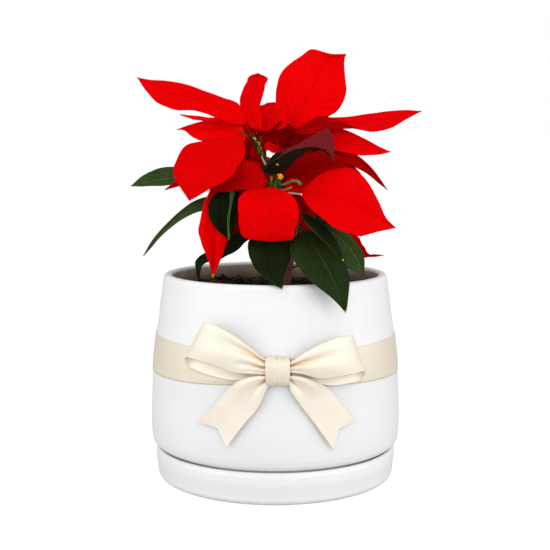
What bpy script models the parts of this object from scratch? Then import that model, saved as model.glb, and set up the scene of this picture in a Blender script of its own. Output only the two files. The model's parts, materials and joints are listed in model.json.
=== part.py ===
"""A small poinsettia in a white ceramic pot on its saucer, with a satin ribbon tied round the pot.

Lengths in the tables below are in millimetres, and MM turns them into metres. The origin is on the pot's
axis at the underside of the saucer, +Z is up, and the bow is at the front, towards -Y.
"""

import math

import bmesh
import bpy
from mathutils import Matrix, Vector, noise

MM = 0.001
GAP = 0.3  # clearance between pieces that touch
SIDES = 48  # sides of every turned piece, so that neighbours keep their gap all the way round

# Pot and saucer
SAUCER_FLOOR = 5.0
POT_FOOT = SAUCER_FLOOR + GAP
POT_RIM = 131.5
POT_FLOOR = 11.5
DRAIN_RADIUS = 7.0
# (outer radius, height) of the pot's wall from the lip down to the turn into the foot
POT_WALL = [(72.3, 128.0), (73.0, 122.0), (74.0, 115.5), (75.4, 104.0), (77.6, 90.0), (79.0, 78.0),
            (79.9, 60.0), (80.6, 34.0), (80.2, 27.5)]
# (inner radius, height) from the floor up to the lip
POT_INSIDE = [(60.0, POT_FLOOR), (69.0, 14.0), (73.2, 22.0), (74.8, 36.0), (73.6, 78.0), (69.8, 104.0),
              (67.4, 120.0), (66.5, 128.0)]
SOIL_LEVEL = 121.0
SOIL_CLODS = 1.5  # how far the clods stand above and below the soil's level

# Satin ribbon
RIBBON_THICK = 0.8
BAND_MIDDLE = 82.3
# (angle from the front in degrees, half the band's height there): the knot gathers it
BAND_HALF = [(0, 6.0), (20, 8.8), (35, 10.3), (60, 11.8), (90, 12.3), (180, 12.5)]
KNOT = dict(centre=(1.2, -83.6, 82.6), half=(8.0, 2.4, 9.4))
# Rows of ribbon: (x, height, stand-off from the pot) of the upper edge, then of the lower edge
LOOP_LEFT = [((-8.2, 88.6, 4.4), (-8.2, 82.8, 4.4)), ((-15, 97.4, 7.5), (-15, 82.4, 7.5)),
             ((-25, 105, 11), (-24, 82.4, 10)), ((-34.5, 108.4, 11), (-34.5, 85.2, 10)),
             ((-44, 109, 9), (-53, 86, 7)), ((-37, 105, 4.6), (-47, 80.4, 4.6)),
             ((-26.5, 100, 2.8), (-35, 77, 2.8)), ((-15, 93.6, 2.8), (-23, 77, 2.8)),
             ((-8.8, 88, 2.4), (-10.5, 80, 2.4))]
LOOP_RIGHT = [((10.6, 88.6, 4.4), (10.6, 82.0, 4.4)), ((16.5, 94, 7.5), (17.5, 80.8, 7.5)),
              ((26, 99.5, 11), (27, 79, 10)), ((36, 102.5, 11), (37.5, 79.2, 10)),
              ((45.5, 101.8, 9), (54, 77.6, 7)), ((41, 98.4, 4.6), (45.5, 73.4, 4.6)),
              ((29, 94, 2.8), (34, 72.6, 2.8)), ((17.5, 90, 2.8), (23, 74.6, 2.8)),
              ((11, 86.8, 2.4), (14.4, 79.2, 2.4))]
TAIL_LEFT = [((-13, 74.6, 1.1), (-7.6, 73.2, 1.1)), ((-20.5, 74.2, 1.8), (-7.6, 69, 2.0)),
             ((-27.7, 70, 2.2), (-11.2, 62.8, 2.2)), ((-35.5, 63, 3), (-16.5, 53.4, 3)),
             ((-41.5, 56.5, 3.5), (-21.2, 46, 3.5)), ((-47.4, 48.9, 4), (-29.5, 34.2, 4))]
TAIL_RIGHT = [((16, 73.4, 1.1), (9.9, 73.0, 1.1)), ((25, 71.6, 1.8), (10.6, 69.6, 1.6)),
              ((32, 68.8, 2.2), (14.4, 62.4, 2.2)), ((39.3, 61.5, 3), (20.3, 52, 3)),
              ((44.2, 55.5, 3.5), (26.8, 43.3, 3.5)), ((48.9, 49.2, 4), (33.7, 33.8, 4))]
TAIL_NOTCH = 6.5  # depth of the swallow-tail cut

# Plant
BLADE_THICK = 0.8
FOOT_GAP = 0.75  # from the bark to the middle of a stalk's foot
FOOT_HALF = 0.6  # half width of a stalk where it leaves the stem
STALK_HALF = 0.9  # half width of a stalk where the blade starts
TIP_HALF = 0.5
STATIONS = (0.0, 0.12, 0.28, 0.44, 0.60, 0.75, 0.88, 1.0)  # sections along a blade, as parts of its length
WIDTH_AT = (0.0, 0.15, 0.40, 0.65, 0.88, 1.0)  # where the tables give a blade's half widths
STEM_FOOT = SOIL_LEVEL - 15.0
# name: (radius at the foot, radius at the top, points of the axis)
STEMS = {
    "main": (2.7, 2.3, [(7.5, 0, STEM_FOOT), (7.5, 0, 115), (7.6, 0, 124), (10, -1, 142),
                        (12, -4, 155)]),
    "upper": (2.1, 1.3, [(11, -3, 150), (9, -5, 170), (1, -4, 190), (-7, -4, 204), (-13, -4.5, 217)]),
    "front": (1.9, 1.5, [(11, -3, 150), (11, -11, 165), (5, -21, 177), (0, -27, 185)]),
    "back": (1.9, 1.4, [(11, -3, 150), (14, 4, 170), (11, 10, 190), (6, 14, 212)]),
}

# Each blade: colour, stem that it grows from, height on that stem, points of its rib, direction that its
# upper face looks in, and half widths to the left and to the right of the rib at WIDTH_AT
RED, DEEP_RED, GREEN = "bract_red", "bract_deep_red", "leaf_green"
BLADES = {
    # round the upper flower head
    "bract_upper_left": (RED, "upper", 214, [(-19, -4, 227), (-33, -10, 235), (-49, -15, 242),
                         (-68, -18, 247), (-86, -14, 255)], (0.1, -0.75, 0.66),
                         (7, 11.5, 16.5, 7.5), (8, 8, 9.5, 3)),
    "bract_upright": (RED, "upper", 218, [(-12, -1, 221), (-14, 3, 234), (-13, 6, 247), (-12, 6, 259)],
                      (0.1, -1, 0.15), (6.5, 8, 8, 4.5), (5.5, 4.5, 5.5, 6)),
    "bract_upright_back": (DEEP_RED, "upper", 213, [(-9, 4, 222), (-5, 9, 231), (-1, 15, 241)],
                           (-0.2, -0.8, 0.6), (3, 7.5, 8, 2), (8, 9.5, 8, 4)),
    "bract_front_left": (RED, "upper", 209, [(-18.5, -12, 219), (-28, -30, 208), (-41, -44, 194),
                         (-52, -46, 180)], (-0.35, -0.75, 0.6), (4, 14, 15.5, 6.5), (10, 21.5, 28, 19)),
    "bract_left": (RED, "upper", 211, [(-20, -6, 221), (-33, -8, 223), (-47, -10, 224), (-62, -11, 223)],
                   (0.1, -0.75, 0.6), (6, 12, 12, 1.5), (6, 6, 4.5, 2)),
    "bract_left_back": (RED, "upper", 212, [(-21, 4, 225), (-36, 10, 228), (-49, 14, 230), (-62, 14, 233)],
                        (0, -0.22, 1), (4, 7, 7, 3), (4, 7, 7, 3)),
    "bract_left_low": (DEEP_RED, "upper", 204, [(-21, 0, 208), (-39, -2, 199), (-54, -6, 192),
                       (-70, -8, 185)], (-0.2, -0.5, 0.8), (6, 9, 7, 3), (6, 9, 7, 3)),
    "bract_inner_left": (DEEP_RED, "upper", 202, [(-8.5, 3, 208), (-12, 4, 204), (-17, 4, 196)],
                         (-0.3, -0.9, 0.3), (6, 8, 6, 2), (6, 8, 6, 2)),
    # round the back flower head
    "bract_top_right": (RED, "back", 213, [(8, 14.5, 224), (18, 20, 240), (31, 22, 257), (46, 18, 272)],
                        (-0.15, -0.95, 0.3), (14, 21.5, 19.5, 10.5), (11, 21.5, 21, 6)),
    "bract_right": (RED, "back", 210, [(13, 13, 221), (36, 14, 227), (64, 10, 229), (94, 6, 235)],
                    (0, -0.6, 0.8), (6.5, 5, 7, 4), (7, 8, 15, 5.5)),
    "bract_right_front": (DEEP_RED, "back", 211, [(12, 0, 221), (22, -3, 225), (38, -4, 227), (51, -4, 224)],
                          (0, -0.5, 0.8), (3.5, 8.5, 4.5, 1), (6.5, 10, 9.5, 4)),
    "bract_centre": (DEEP_RED, "back", 204, [(2, 5, 211), (0.5, 3, 218), (3.5, 1, 229)],
                     (0.3, -0.8, 0.3), (9, 12, 10, 4), (6, 8, 7, 3)),
    "bract_right_mid": (RED, "back", 206, [(17, 11, 215), (34, 8, 217), (54, 4, 213), (74, 0, 209)],
                        (0, -0.7, 0.7), (9.5, 10, 7.5, 2), (9, 11, 10, 5)),
    "bract_right_curled": (DEEP_RED, "back", 201, [(16, 7, 209), (35, 1, 209), (55, -7, 202), (71, -10, 185)],
                           (0.15, -0.6, 0.8), (8.5, 6, 3, 1.5), (8, 11, 8, 3)),
    "bract_small": (RED, "back", 201, [(7.5, -2, 209), (0.5, -7, 211), (-6, -11, 214)],
                    (0.2, -0.7, 0.7), (3, 4.5, 4, 2), (3, 4, 3.5, 2)),
    "bract_right_shaded": (DEEP_RED, "back", 197, [(8, -5, 198), (20, -14, 200), (33, -22, 201),
                           (47, -27, 197)], (0, -0.8, 0.6), (8, 10, 8, 4), (9, 10, 8, 4)),
    "bract_inner_right": (RED, "back", 186, [(9, 1, 193), (12, -3, 188), (17, -8, 186), (24, -12, 184)],
                          (0, -0.8, 0.6), (5, 7, 6, 3), (6, 7, 6, 3)),
    "bract_under": (DEEP_RED, "back", 172, [(13, -6, 182), (16, -13, 176), (20, -17, 167), (24, -19.5, 156)],
                    (0.1, -0.9, 0.4), (4, 6, 5, 2), (5, 7, 6, 3)),
    "bract_inner_back": (DEEP_RED, "back", 194, [(3, 7, 205), (2, 6, 198), (3, 5, 189)],
                         (0.1, -0.95, 0.2), (6, 9, 7, 3), (4, 5, 4, 2)),
    # round the front flower head
    "bract_front_right": (RED, "front", 182, [(16, -34, 185), (33, -50, 183), (51, -56, 176), (72, -52, 164)],
                          (0.25, -0.75, 0.6), (16, 23.5, 16, 2.5), (11, 21.5, 25.5, 11)),
    "bract_front": (RED, "front", 184, [(-3, -36, 187), (-4, -49, 181), (-5, -57, 168), (-5, -57, 160),
                    (-5, -50, 155.5)], (0, -1, 0.45), (11.5, 17, 18, 13.5), (12, 18.5, 17, 15.5)),
    "bract_front_shaded": (DEEP_RED, "front", 181, [(-5, -29, 190.5), (-16, -32, 194), (-29, -33, 191),
                           (-41, -32, 185)], (-0.1, -0.7, 0.6), (7, 9, 7, 3), (8, 10, 7, 3)),
    "bract_hanging": (RED, "front", 177, [(-20, -22, 182), (-34, -26, 172), (-40, -30, 152), (-39, -28, 131)],
                      (-0.4, -0.85, 0.3), (9, 16.5, 11, 3), (9, 11.5, 11, 1.5)),
    # lower down, and behind
    "bract_low_right": (DEEP_RED, "back", 173, [(32, 6, 164), (45, 2, 155), (57, -2, 146), (70, -4, 143)],
                        (0.2, -0.6, 0.8), (6, 9, 8, 3), (6, 9, 6, 2)),
    "bract_back_left": (RED, "upper", 209, [(-11, 6, 214), (-22, 22, 222), (-33, 42, 226)],
                        (0, 0.3, 1), (8, 13, 11, 5), (8, 13, 11, 5)),
    "bract_back": (RED, "back", 208, [(6, 24, 214), (8, 45, 224), (10, 72, 222)],
                   (0, 0, 1), (9, 16, 14, 6), (9, 16, 14, 6)),
    "bract_back_right": (RED, "back", 203, [(14, 21, 212), (30, 38, 218), (46, 58, 214)],
                         (0, 0, 1), (8, 13, 11, 5), (8, 13, 11, 5)),
    "bract_back_low": (RED, "back", 200, [(-3, 18, 203), (-22, 38, 204), (-38, 60, 196)],
                       (0, 0, 1), (8, 13, 11, 5), (8, 13, 11, 5)),
    "bract_back_right_low": (DEEP_RED, "back", 195, [(20, 17, 201), (38, 30, 202), (58, 40, 194)],
                             (0, 0, 1), (7, 11, 9, 4), (7, 11, 9, 4)),
    # green leaves
    "leaf_left": (GREEN, "upper", 191, [(-32, 4, 194), (-55, 8, 193), (-75, 8, 191), (-93, 4, 187)],
                  (-0.1, -0.6, 0.8), (7, 10, 7, 4), (5.5, 10, 10, 7)),
    "leaf_left_drooping": (GREEN, "upper", 180, [(-32, -4, 178), (-51, -8, 175), (-70, -12, 161),
                           (-84, -12, 143)], (-0.3, -0.5, 0.8), (12, 9, 5.5, 2.5), (6, 3, 2, 2)),
    "leaf_front_left": (GREEN, "front", 171, [(-22, -40, 186), (-26, -46, 178), (-28, -49, 167),
                        (-28, -48, 155)], (-0.25, -0.9, 0.25), (2.5, 4, 2.5, 1), (5, 12.5, 16, 11.5)),
    "leaf_low_left": (GREEN, "main", 150, [(-15, -14, 156), (-26, -18, 151), (-39, -20, 141),
                      (-49, -20, 130)], (-0.3, -0.6, 0.7), (5, 7.5, 8, 4), (7, 10, 11, 10.5)),
    "leaf_front": (GREEN, "front", 160, [(-3, -34, 159), (-4, -50, 150), (-1, -64, 138), (4, -76, 130)],
                   (0, -0.9, 0.45), (12.5, 13.5, 8, 3), (10, 13, 12, 6.5)),
    "leaf_front_right": (GREEN, "front", 166, [(18, -34, 161), (26, -56, 149), (35, -73, 132),
                         (41, -76, 116)], (0.15, -0.9, 0.4), (7.5, 9.5, 10.5, 5), (13, 15.5, 13, 6)),
    "leaf_narrow": (GREEN, "front", 174, [(16, -38, 172), (26, -54, 164), (34, -68, 154), (40, -74, 144)],
                    (0.3, -0.7, 0.6), (3, 4.5, 4, 2.5), (4, 6, 4, 1)),
    "leaf_right": (GREEN, "back", 166, [(25, -10, 165), (39, -22, 157), (49, -28, 146), (55, -30, 133)],
                   (0.3, -0.8, 0.5), (2, 5.5, 6, 4), (4.5, 10.5, 11, 4.5)),
    "leaf_centre": (GREEN, "upper", 195, [(-7, -10, 200), (0, -19, 205), (9, -30, 209.5),
                    (25, -41, 211.5), (34, -48, 203)], (0.1, -0.85, 0.5), (1.5, 2.5, 13, 9), (9, 13, 9, 3)),
    "leaf_right_inner": (GREEN, "back", 164, [(22, 4, 160), (32, 2, 152), (42, 0, 140)],
                         (0.2, -0.7, 0.6), (6, 10, 8, 3), (7, 10, 8, 3)),
    "leaf_back_right_low": (GREEN, "back", 158, [(24, 14, 164), (40, 28, 160), (54, 42, 148)],
                            (0, 0, 1), (7, 11, 9, 4), (7, 11, 9, 4)),
    "leaf_back_left_low": (GREEN, "upper", 163, [(-6, 16, 168), (-28, 32, 163), (-48, 42, 150)],
                           (0, 0, 1), (8, 12, 10, 4), (8, 12, 10, 4)),
    "leaf_back_left": (GREEN, "upper", 184, [(0, 20, 184), (-14, 44, 178), (-22, 66, 166)],
                       (0, 0, 1), (8, 12, 10, 4), (8, 12, 10, 4)),
    "leaf_back_right": (GREEN, "back", 180, [(20, 24, 176), (30, 46, 168), (38, 68, 152)],
                        (0, 0, 1), (9, 14, 12, 5), (9, 14, 12, 5)),
    "leaf_back": (GREEN, "back", 162, [(6, 18, 162), (0, 36, 156), (-4, 58, 142)],
                  (0, 0, 1), (9, 14, 12, 5), (9, 14, 12, 5)),
}
FOLD = 0.15  # each half of a blade rises by this angle from the rib

# Flower buds: the foot and the tip of the cluster's stalk, then (place along it, angle round it, radius,
# length) of each bud
STALK_RADIUS = 1.0
BUDS = {
    "buds_upper": ((-8.0, -7.6, 207), (-13.2, -9.4, 219.5),
                   [(0.1, 200, 1.7, 4.2), (0.3, 320, 1.7, 4.4), (0.52, 230, 1.8, 4.6), (0.72, 340, 1.6, 4.2),
                    (0.95, 150, 1.7, 4.4), (1.0, 280, 1.6, 4.0)]),
    "buds_front": ((-0.2, -27.6, 186.6), (0.6, -29.4, 193.4),
                   [(0.15, 250, 1.8, 5.0), (0.3, 180, 1.7, 5.2), (0.45, 330, 1.8, 5.4), (0.8, 120, 1.7, 5.0),
                    (1.0, 10, 2.2, 4.6), (1.0, 220, 1.6, 4.2)]),
    "buds_back": ((5.2, 14.4, 206), (1.6, 14.6, 213),
                  [(0.3, 90, 1.7, 4.4), (0.6, 210, 1.7, 4.4), (1.0, 330, 1.8, 4.6)]),
}

# name: (base colour, roughness)
FINISHES = {
    "white_glaze": ((0.87, 0.88, 0.89), 0.32),
    "soil": ((0.045, 0.032, 0.024), 0.95),
    "satin_ribbon": ((0.86, 0.76, 0.60), 0.38),
    "stem_green": ((0.12, 0.10, 0.05), 0.6),
    RED: ((0.75, 0.002, 0.006), 0.5),
    DEEP_RED: ((0.40, 0.001, 0.003), 0.5),
    GREEN: ((0.022, 0.062, 0.018), 0.5),
    "bud_green": ((0.16, 0.26, 0.04), 0.5),
}


def empty_scene():
    for obj in list(bpy.data.objects):
        bpy.data.objects.remove(obj, do_unlink=True)
    for name in ("potted_poinsettia", "cutters"):
        bpy.context.scene.collection.children.link(bpy.data.collections.new(name))


def finish(name):
    """The material of this name, made the first time that it is asked for."""
    if name in bpy.data.materials:
        return bpy.data.materials[name]
    colour, roughness = FINISHES[name]
    material = bpy.data.materials.new(name)
    material.use_nodes = True
    shader = material.node_tree.nodes["Principled BSDF"]
    shader.inputs["Base Color"].default_value = (*colour, 1)
    shader.inputs["Roughness"].default_value = roughness
    return material


def add(name, data, material, collection="potted_poinsettia"):
    obj = bpy.data.objects.new(name, data)
    bpy.data.collections[collection].objects.link(obj)
    if material:
        data.materials.clear()
        data.materials.append(finish(material))
    return obj


def metres(points):
    return [Vector(point) * MM for point in points]


def smooth_curve(points, per_span=8):
    """Points along a smooth curve through the given ones, with tangents that don't overshoot."""
    points = [Vector(point) for point in points]
    at = [0.0]
    for a, b in zip(points, points[1:]):
        at.append(at[-1] + (b - a).length)
    slopes = [(b - a) / (t - s) for a, b, s, t in zip(points, points[1:], at, at[1:])]
    tangents = [slopes[0]]
    for i in range(1, len(slopes)):
        weight = (at[i + 1] - at[i]) / (at[i + 1] - at[i - 1])
        tangents.append(slopes[i - 1] * weight + slopes[i] * (1 - weight))
    tangents.append(slopes[-1])
    curve = []
    for i, slope in enumerate(slopes):
        span = at[i + 1] - at[i]
        for step in range(per_span):
            t = step / per_span
            curve.append(points[i] * (2 * t**3 - 3 * t**2 + 1) + tangents[i] * span * (t**3 - 2 * t**2 + t)
                         + points[i + 1] * (3 * t**2 - 2 * t**3) + tangents[i + 1] * span * (t**3 - t**2))
    return curve + [points[-1]]


def along(curve, parts):
    """Points at the given parts of a curve's length."""
    lengths = [0.0]
    for a, b in zip(curve, curve[1:]):
        lengths.append(lengths[-1] + (b - a).length)
    found = []
    for part in parts:
        goal = part * lengths[-1]
        i = max(j for j in range(len(curve) - 1) if lengths[j] <= goal or j == 0)
        span = lengths[i + 1] - lengths[i]
        found.append(curve[i].lerp(curve[i + 1], min(1.0, (goal - lengths[i]) / span)))
    return found


def between(x, table):
    """The value at x in a table of (x, value), on a smooth curve without overshoot."""
    xs, ys = zip(*table)
    slopes = [(q - p) / (b - a) for a, b, p, q in zip(xs, xs[1:], ys, ys[1:])]
    i = max(j for j in range(len(slopes)) if xs[j] <= x or j == 0)

    def tangent(j):
        if j in (0, len(slopes)):
            return slopes[min(j, len(slopes) - 1)]
        before, after = slopes[j - 1], slopes[j]
        return 0.0 if before * after <= 0 else 2 * before * after / (before + after)

    span = xs[i + 1] - xs[i]
    t = (x - xs[i]) / span
    return ((2 * t**3 - 3 * t**2 + 1) * ys[i] + (t**3 - 2 * t**2 + t) * span * tangent(i)
            + (3 * t**2 - 2 * t**3) * ys[i + 1] + (t**3 - t**2) * span * tangent(i + 1))


def arc(centre, radius, start, end, steps):
    """(radius, height) points of an arc, by angle in degrees."""
    angles = [math.radians(start + (end - start) * i / steps) for i in range(steps + 1)]
    return [(centre[0] + radius * math.cos(a), centre[1] + radius * math.sin(a)) for a in angles]


def turned(name, profile, material, closed):
    """A solid of revolution. The profile's (radius, height) points run down its outer side."""
    mesh = bpy.data.meshes.new(name)
    shape = bmesh.new()
    vertices = [shape.verts.new((radius * MM, 0, height * MM)) for radius, height in profile]
    for a, b in zip(vertices, vertices[1:]):
        shape.edges.new((a, b))
    if closed:
        shape.edges.new((vertices[-1], vertices[0]))
    shape.to_mesh(mesh)
    shape.free()
    obj = add(name, mesh, material)
    screw = obj.modifiers.new("turn", "SCREW")
    screw.axis = "Z"
    screw.steps = screw.render_steps = SIDES
    screw.use_merge_vertices = True
    screw.merge_threshold = 0.00001
    screw.use_smooth_shade = True
    return obj


def baked(obj):
    """The object with its modifiers applied, or a curve as a mesh with welded caps."""
    bpy.context.view_layer.update()
    graph = bpy.context.evaluated_depsgraph_get()
    mesh = bpy.data.meshes.new_from_object(obj.evaluated_get(graph))
    shape = bmesh.new()
    shape.from_mesh(mesh)
    bmesh.ops.remove_doubles(shape, verts=shape.verts, dist=0.00001)
    shape.to_mesh(mesh)
    shape.free()
    name, collection = obj.name, obj.users_collection[0]
    bpy.data.objects.remove(obj, do_unlink=True)
    made = bpy.data.objects.new(name, mesh)
    collection.objects.link(made)
    return made


def as_cutter(obj):
    obj.hide_render = True
    obj.display_type = "WIRE"
    for collection in list(obj.users_collection):
        collection.objects.unlink(obj)
    bpy.data.collections["cutters"].objects.link(obj)
    return obj


def boolean(obj, other, operation):
    modifier = obj.modifiers.new(operation.lower(), "BOOLEAN")
    modifier.operation = operation
    modifier.solver = "EXACT"
    modifier.object = as_cutter(other)


def tube(name, points, radii, material, sides=2):
    """A round tube through the points, with a radius at each."""
    curve = bpy.data.curves.new(name, "CURVE")
    curve.dimensions = "3D"
    curve.bevel_depth = MM
    curve.bevel_resolution = sides
    curve.use_fill_caps = True
    spline = curve.splines.new("POLY")
    spline.points.add(len(points) - 1)
    for place, point, radius in zip(spline.points, metres(points), radii):
        place.co = (*point, 1)
        place.radius = radius
    return add(name, curve, material)


def strip(name, rows, thickness, material):
    """A bent strip of even thickness. Each row is its (left, middle, right) points."""
    shape = bmesh.new()
    bmesh.ops.create_grid(shape, x_segments=2, y_segments=len(rows) - 1, size=1)
    across, up = (sorted({round(vertex.co[axis], 5) for vertex in shape.verts}) for axis in (0, 1))
    for vertex in shape.verts:
        row, place = up.index(round(vertex.co.y, 5)), across.index(round(vertex.co.x, 5))
        vertex.co = Vector(rows[row][place]) * MM
    mesh = bpy.data.meshes.new(name)
    shape.to_mesh(mesh)
    shape.free()
    obj = add(name, mesh, material)
    solid = obj.modifiers.new("thickness", "SOLIDIFY")
    solid.thickness = thickness * MM
    solid.offset = 0
    return obj


def wall_radius(height):
    return between(height, sorted((z, radius) for radius, z in POT_WALL))


def saucer():
    outer = arc((76.2, 18.6), 1.9, 60, 0, 3) + [(77.7, 13.0), (77.0, 8.0)] + arc((72.6, 4.2), 4.2, 0, -90, 4)
    inner = [(0, SAUCER_FLOOR), (68.6, SAUCER_FLOOR), (71.6, 6.8), (73.0, 11.0), (73.8, 17.6)]
    lip = arc((75.8, 18.6), 1.9, 170, 75, 4)
    turned("saucer", inner + lip + outer + [(0, 0)], "white_glaze", closed=False)


def pot():
    lip = arc((68.6, POT_RIM - 2.2), 2.2, 170, 90, 3) + arc((69.6, POT_RIM - 2.6), 2.6, 80, 0, 3)
    wall = [(point.x, point.y) for point in smooth_curve([(r, z, 0) for r, z in POT_WALL], 1)]
    turn_in = [(79.0, 23.8), (76.8, 21.9), (73.4, 21.4), (70.8, 19.8), (70.0, 8.4), (67.6, POT_FOOT)]
    drain = [(DRAIN_RADIUS, POT_FOOT), (DRAIN_RADIUS, POT_FLOOR)]
    turned("pot", lip + wall + turn_in + drain + POT_INSIDE, "white_glaze", closed=True)


def soil():
    """Potting mix that fills the pot, with a cloddy top and a hole where the stem stands."""
    side = [(radius - 2 * GAP, z) for radius, z in reversed(POT_INSIDE) if z < SOIL_LEVEL - 2]
    edge = [(66.4, SOIL_LEVEL)]
    top = [(radius, SOIL_LEVEL) for radius in (0, 9, 19, 30, 41, 51, 60)]
    obj = baked(turned("soil", top + edge + side[:-1] + [(59.0, POT_FLOOR + GAP), (0, POT_FLOOR + GAP)],
                       "soil", closed=False))
    for vertex in obj.data.vertices:
        if vertex.co.z > (SOIL_LEVEL - 0.1) * MM:
            inwards = 1 - (vertex.co.xy.length / (67.0 * MM)) ** 6
            vertex.co.z += SOIL_CLODS * MM * inwards * noise.noise(vertex.co * 90)
    obj.data.materials.clear()
    obj.data.materials.append(finish("soil"))
    radius, _, points = STEMS["main"]
    foot = tube("stem_hole", [(*points[0][:2], STEM_FOOT - GAP), (*points[0][:2], SOIL_LEVEL + 6)],
                (radius + GAP, radius + GAP), None)
    boolean(obj, baked(foot), "DIFFERENCE")


def ribbon_band():
    """The ribbon round the pot, drawn in towards the knot."""
    full = BAND_HALF[-1][1]
    heights = [BAND_MIDDLE + full * part for part in (-1, -0.5, 0, 0.5, 1)]
    outer = [(wall_radius(z) + GAP + RIBBON_THICK, z) for z in reversed(heights)]
    inner = [(wall_radius(z) + GAP, z) for z in heights]
    obj = baked(turned("ribbon_band", outer + inner, "satin_ribbon", closed=True))
    for vertex in obj.data.vertices:
        point = vertex.co / MM
        angle = abs(math.degrees(math.atan2(point.x, -point.y)))
        height = BAND_MIDDLE + (point.z - BAND_MIDDLE) * between(angle, BAND_HALF) / full
        radius = point.xy.length + wall_radius(height) - wall_radius(point.z)
        vertex.co = (*(point.xy.normalized() * radius * MM), height * MM)


def bow_knot():
    """A short barrel of ribbon, from a coarse cage."""
    shape = bmesh.new()
    bmesh.ops.create_cube(shape, size=2)
    x, y, z = KNOT["half"]
    bmesh.ops.scale(shape, vec=Vector((x, y, z)) * MM * 1.12, verts=shape.verts)
    for vertex in shape.verts:
        vertex.co.x *= 0.92 if vertex.co.z < 0 else 1
    bmesh.ops.translate(shape, vec=Vector(KNOT["centre"]) * MM, verts=shape.verts)
    for edge in shape.edges:
        edge.smooth = True
    crease = shape.edges.layers.float.new("crease_edge")
    for edge in shape.edges:
        edge[crease] = 0.35
    mesh = bpy.data.meshes.new("bow_knot")
    shape.to_mesh(mesh)
    shape.free()
    obj = add("bow_knot", mesh, "satin_ribbon")
    rounding = obj.modifiers.new("rounding", "SUBSURF")
    rounding.levels = rounding.render_levels = 2


def on_wall(x, height, stand_off):
    """The point in front of the pot's wall at this place."""
    radius = wall_radius(height) + stand_off
    return Vector((x, -math.sqrt(radius**2 - x**2), height))


def bow():
    bow_knot()
    for name, table in (("bow_loop_left", LOOP_LEFT), ("bow_loop_right", LOOP_RIGHT)):
        rows = []
        for upper, lower in table:
            ends = [on_wall(*upper), on_wall(*lower)]
            rows.append((ends[0], (ends[0] + ends[1]) / 2, ends[1]))
        strip(name, rows, RIBBON_THICK, "satin_ribbon")
    for name, table in (("bow_tail_left", TAIL_LEFT), ("bow_tail_right", TAIL_RIGHT)):
        rows = []
        for (x1, z1, off1), (x2, z2, off2) in table:
            middle = on_wall((x1 + x2) / 2, (z1 + z2) / 2, (off1 + off2) / 2)
            rows.append([on_wall(x1, z1, off1), middle, on_wall(x2, z2, off2)])
        back = (rows[-2][1] - rows[-1][1]).normalized()
        rows[-1][1] = rows[-1][1] + back * TAIL_NOTCH
        strip(name, rows, RIBBON_THICK, "satin_ribbon")


def stem():
    """The main stem with its three branches, grown together."""
    pieces = []
    for name, (foot, top, points) in STEMS.items():
        axis = along(smooth_curve(points), [i / 8 for i in range(9)])
        radii = [foot + (top - foot) * i / 8 for i in range(9)]
        pieces.append(baked(tube(name, axis, radii, None)))
    trunk = pieces[0]
    trunk.name = "stem"
    trunk.data.materials.append(finish("stem_green"))
    for branch in pieces[1:]:
        boolean(trunk, branch, "UNION")


def blade_foot(stem_name, height, towards):
    """Where a stalk starts: just off the bark, or just past the stem's end when the height is above it."""
    foot_radius, top_radius, points = STEMS[stem_name]
    axis = smooth_curve(points)
    grown = min(axis, key=lambda point: abs(point.z - height))
    part = (grown.z - points[0][2]) / (points[-1][2] - points[0][2])
    growing = (axis[-1] - axis[-2]).normalized()
    if height > points[-1][2]:
        return grown + growing * FOOT_GAP
    near = axis.index(grown)
    growing = (axis[min(near + 1, len(axis) - 1)] - axis[max(near - 1, 0)]).normalized()
    reach = towards - grown
    outwards = (reach - growing * reach.dot(growing)).normalized()
    return grown + outwards * (foot_radius + (top_radius - foot_radius) * part + FOOT_GAP)


def blade(name, material, stem_name, height, rib, facing, left, right):
    """A leaf or bract with its stalk, from the stem's bark out to the tip."""
    foot = blade_foot(stem_name, height, Vector(rib[0]))
    rib_curve = smooth_curve(rib)
    middles = [foot] + along(rib_curve, STATIONS)
    lengthwise = (middles[-1] - foot).normalized()
    sideways = lengthwise.cross(Vector(facing)).normalized()
    upwards = sideways.cross(lengthwise)
    rows = []
    for middle, place in zip(middles, (0.0, *STATIONS)):
        row = [middle]
        for side, widths in ((-1, left), (1, right)):
            half = FOOT_HALF
            if rows:
                half = between(place, list(zip(WIDTH_AT, (STALK_HALF, *widths, TIP_HALF))))
            point = middle + (sideways * side * math.cos(FOLD) + upwards * math.sin(FOLD)) * half
            row.insert(0 if side < 0 else 2, point)
        rows.append(row)
    strip(name, rows, BLADE_THICK, material)


def buds(name, foot, tip, places):
    """A cluster of small flower buds joined to one stalk."""
    foot, tip = Vector(foot), Vector(tip)
    stalk = baked(tube(name, [foot, tip], (STALK_RADIUS, STALK_RADIUS), None))
    stalk.data.materials.append(finish("bud_green"))
    turn = (tip - foot).to_track_quat("Z", "X")
    for i, (place, angle, radius, length) in enumerate(places):
        lean = Vector((math.cos(math.radians(angle)), math.sin(math.radians(angle)), 0.9)).normalized()
        direction = turn @ lean
        shape = bmesh.new()
        bmesh.ops.create_uvsphere(shape, u_segments=6, v_segments=4, radius=1)
        size = Matrix.Diagonal((radius * MM, radius * MM, length * MM / 2, 1))
        centre = (foot.lerp(tip, place) + direction * (length / 2 - 0.2)) * MM
        aim = direction.to_track_quat("Z", "X").to_matrix().to_4x4()
        bmesh.ops.transform(shape, matrix=Matrix.Translation(centre) @ aim @ size, verts=shape.verts)
        mesh = bpy.data.meshes.new(f"{name}_{i}")
        shape.to_mesh(mesh)
        shape.free()
        boolean(stalk, add(mesh.name, mesh, None), "UNION")


def main():
    empty_scene()
    saucer()
    pot()
    soil()
    ribbon_band()
    bow()
    stem()
    for name, values in BLADES.items():
        blade(name, *values)
    for name, values in BUDS.items():
        buds(name, *values)


main()
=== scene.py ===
"""A poinsettia in a white glazed pot, with a satin bow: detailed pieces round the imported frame."""

import json
import math
import random

import bmesh
import bpy
from mathutils import Matrix, Vector, noise


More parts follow.
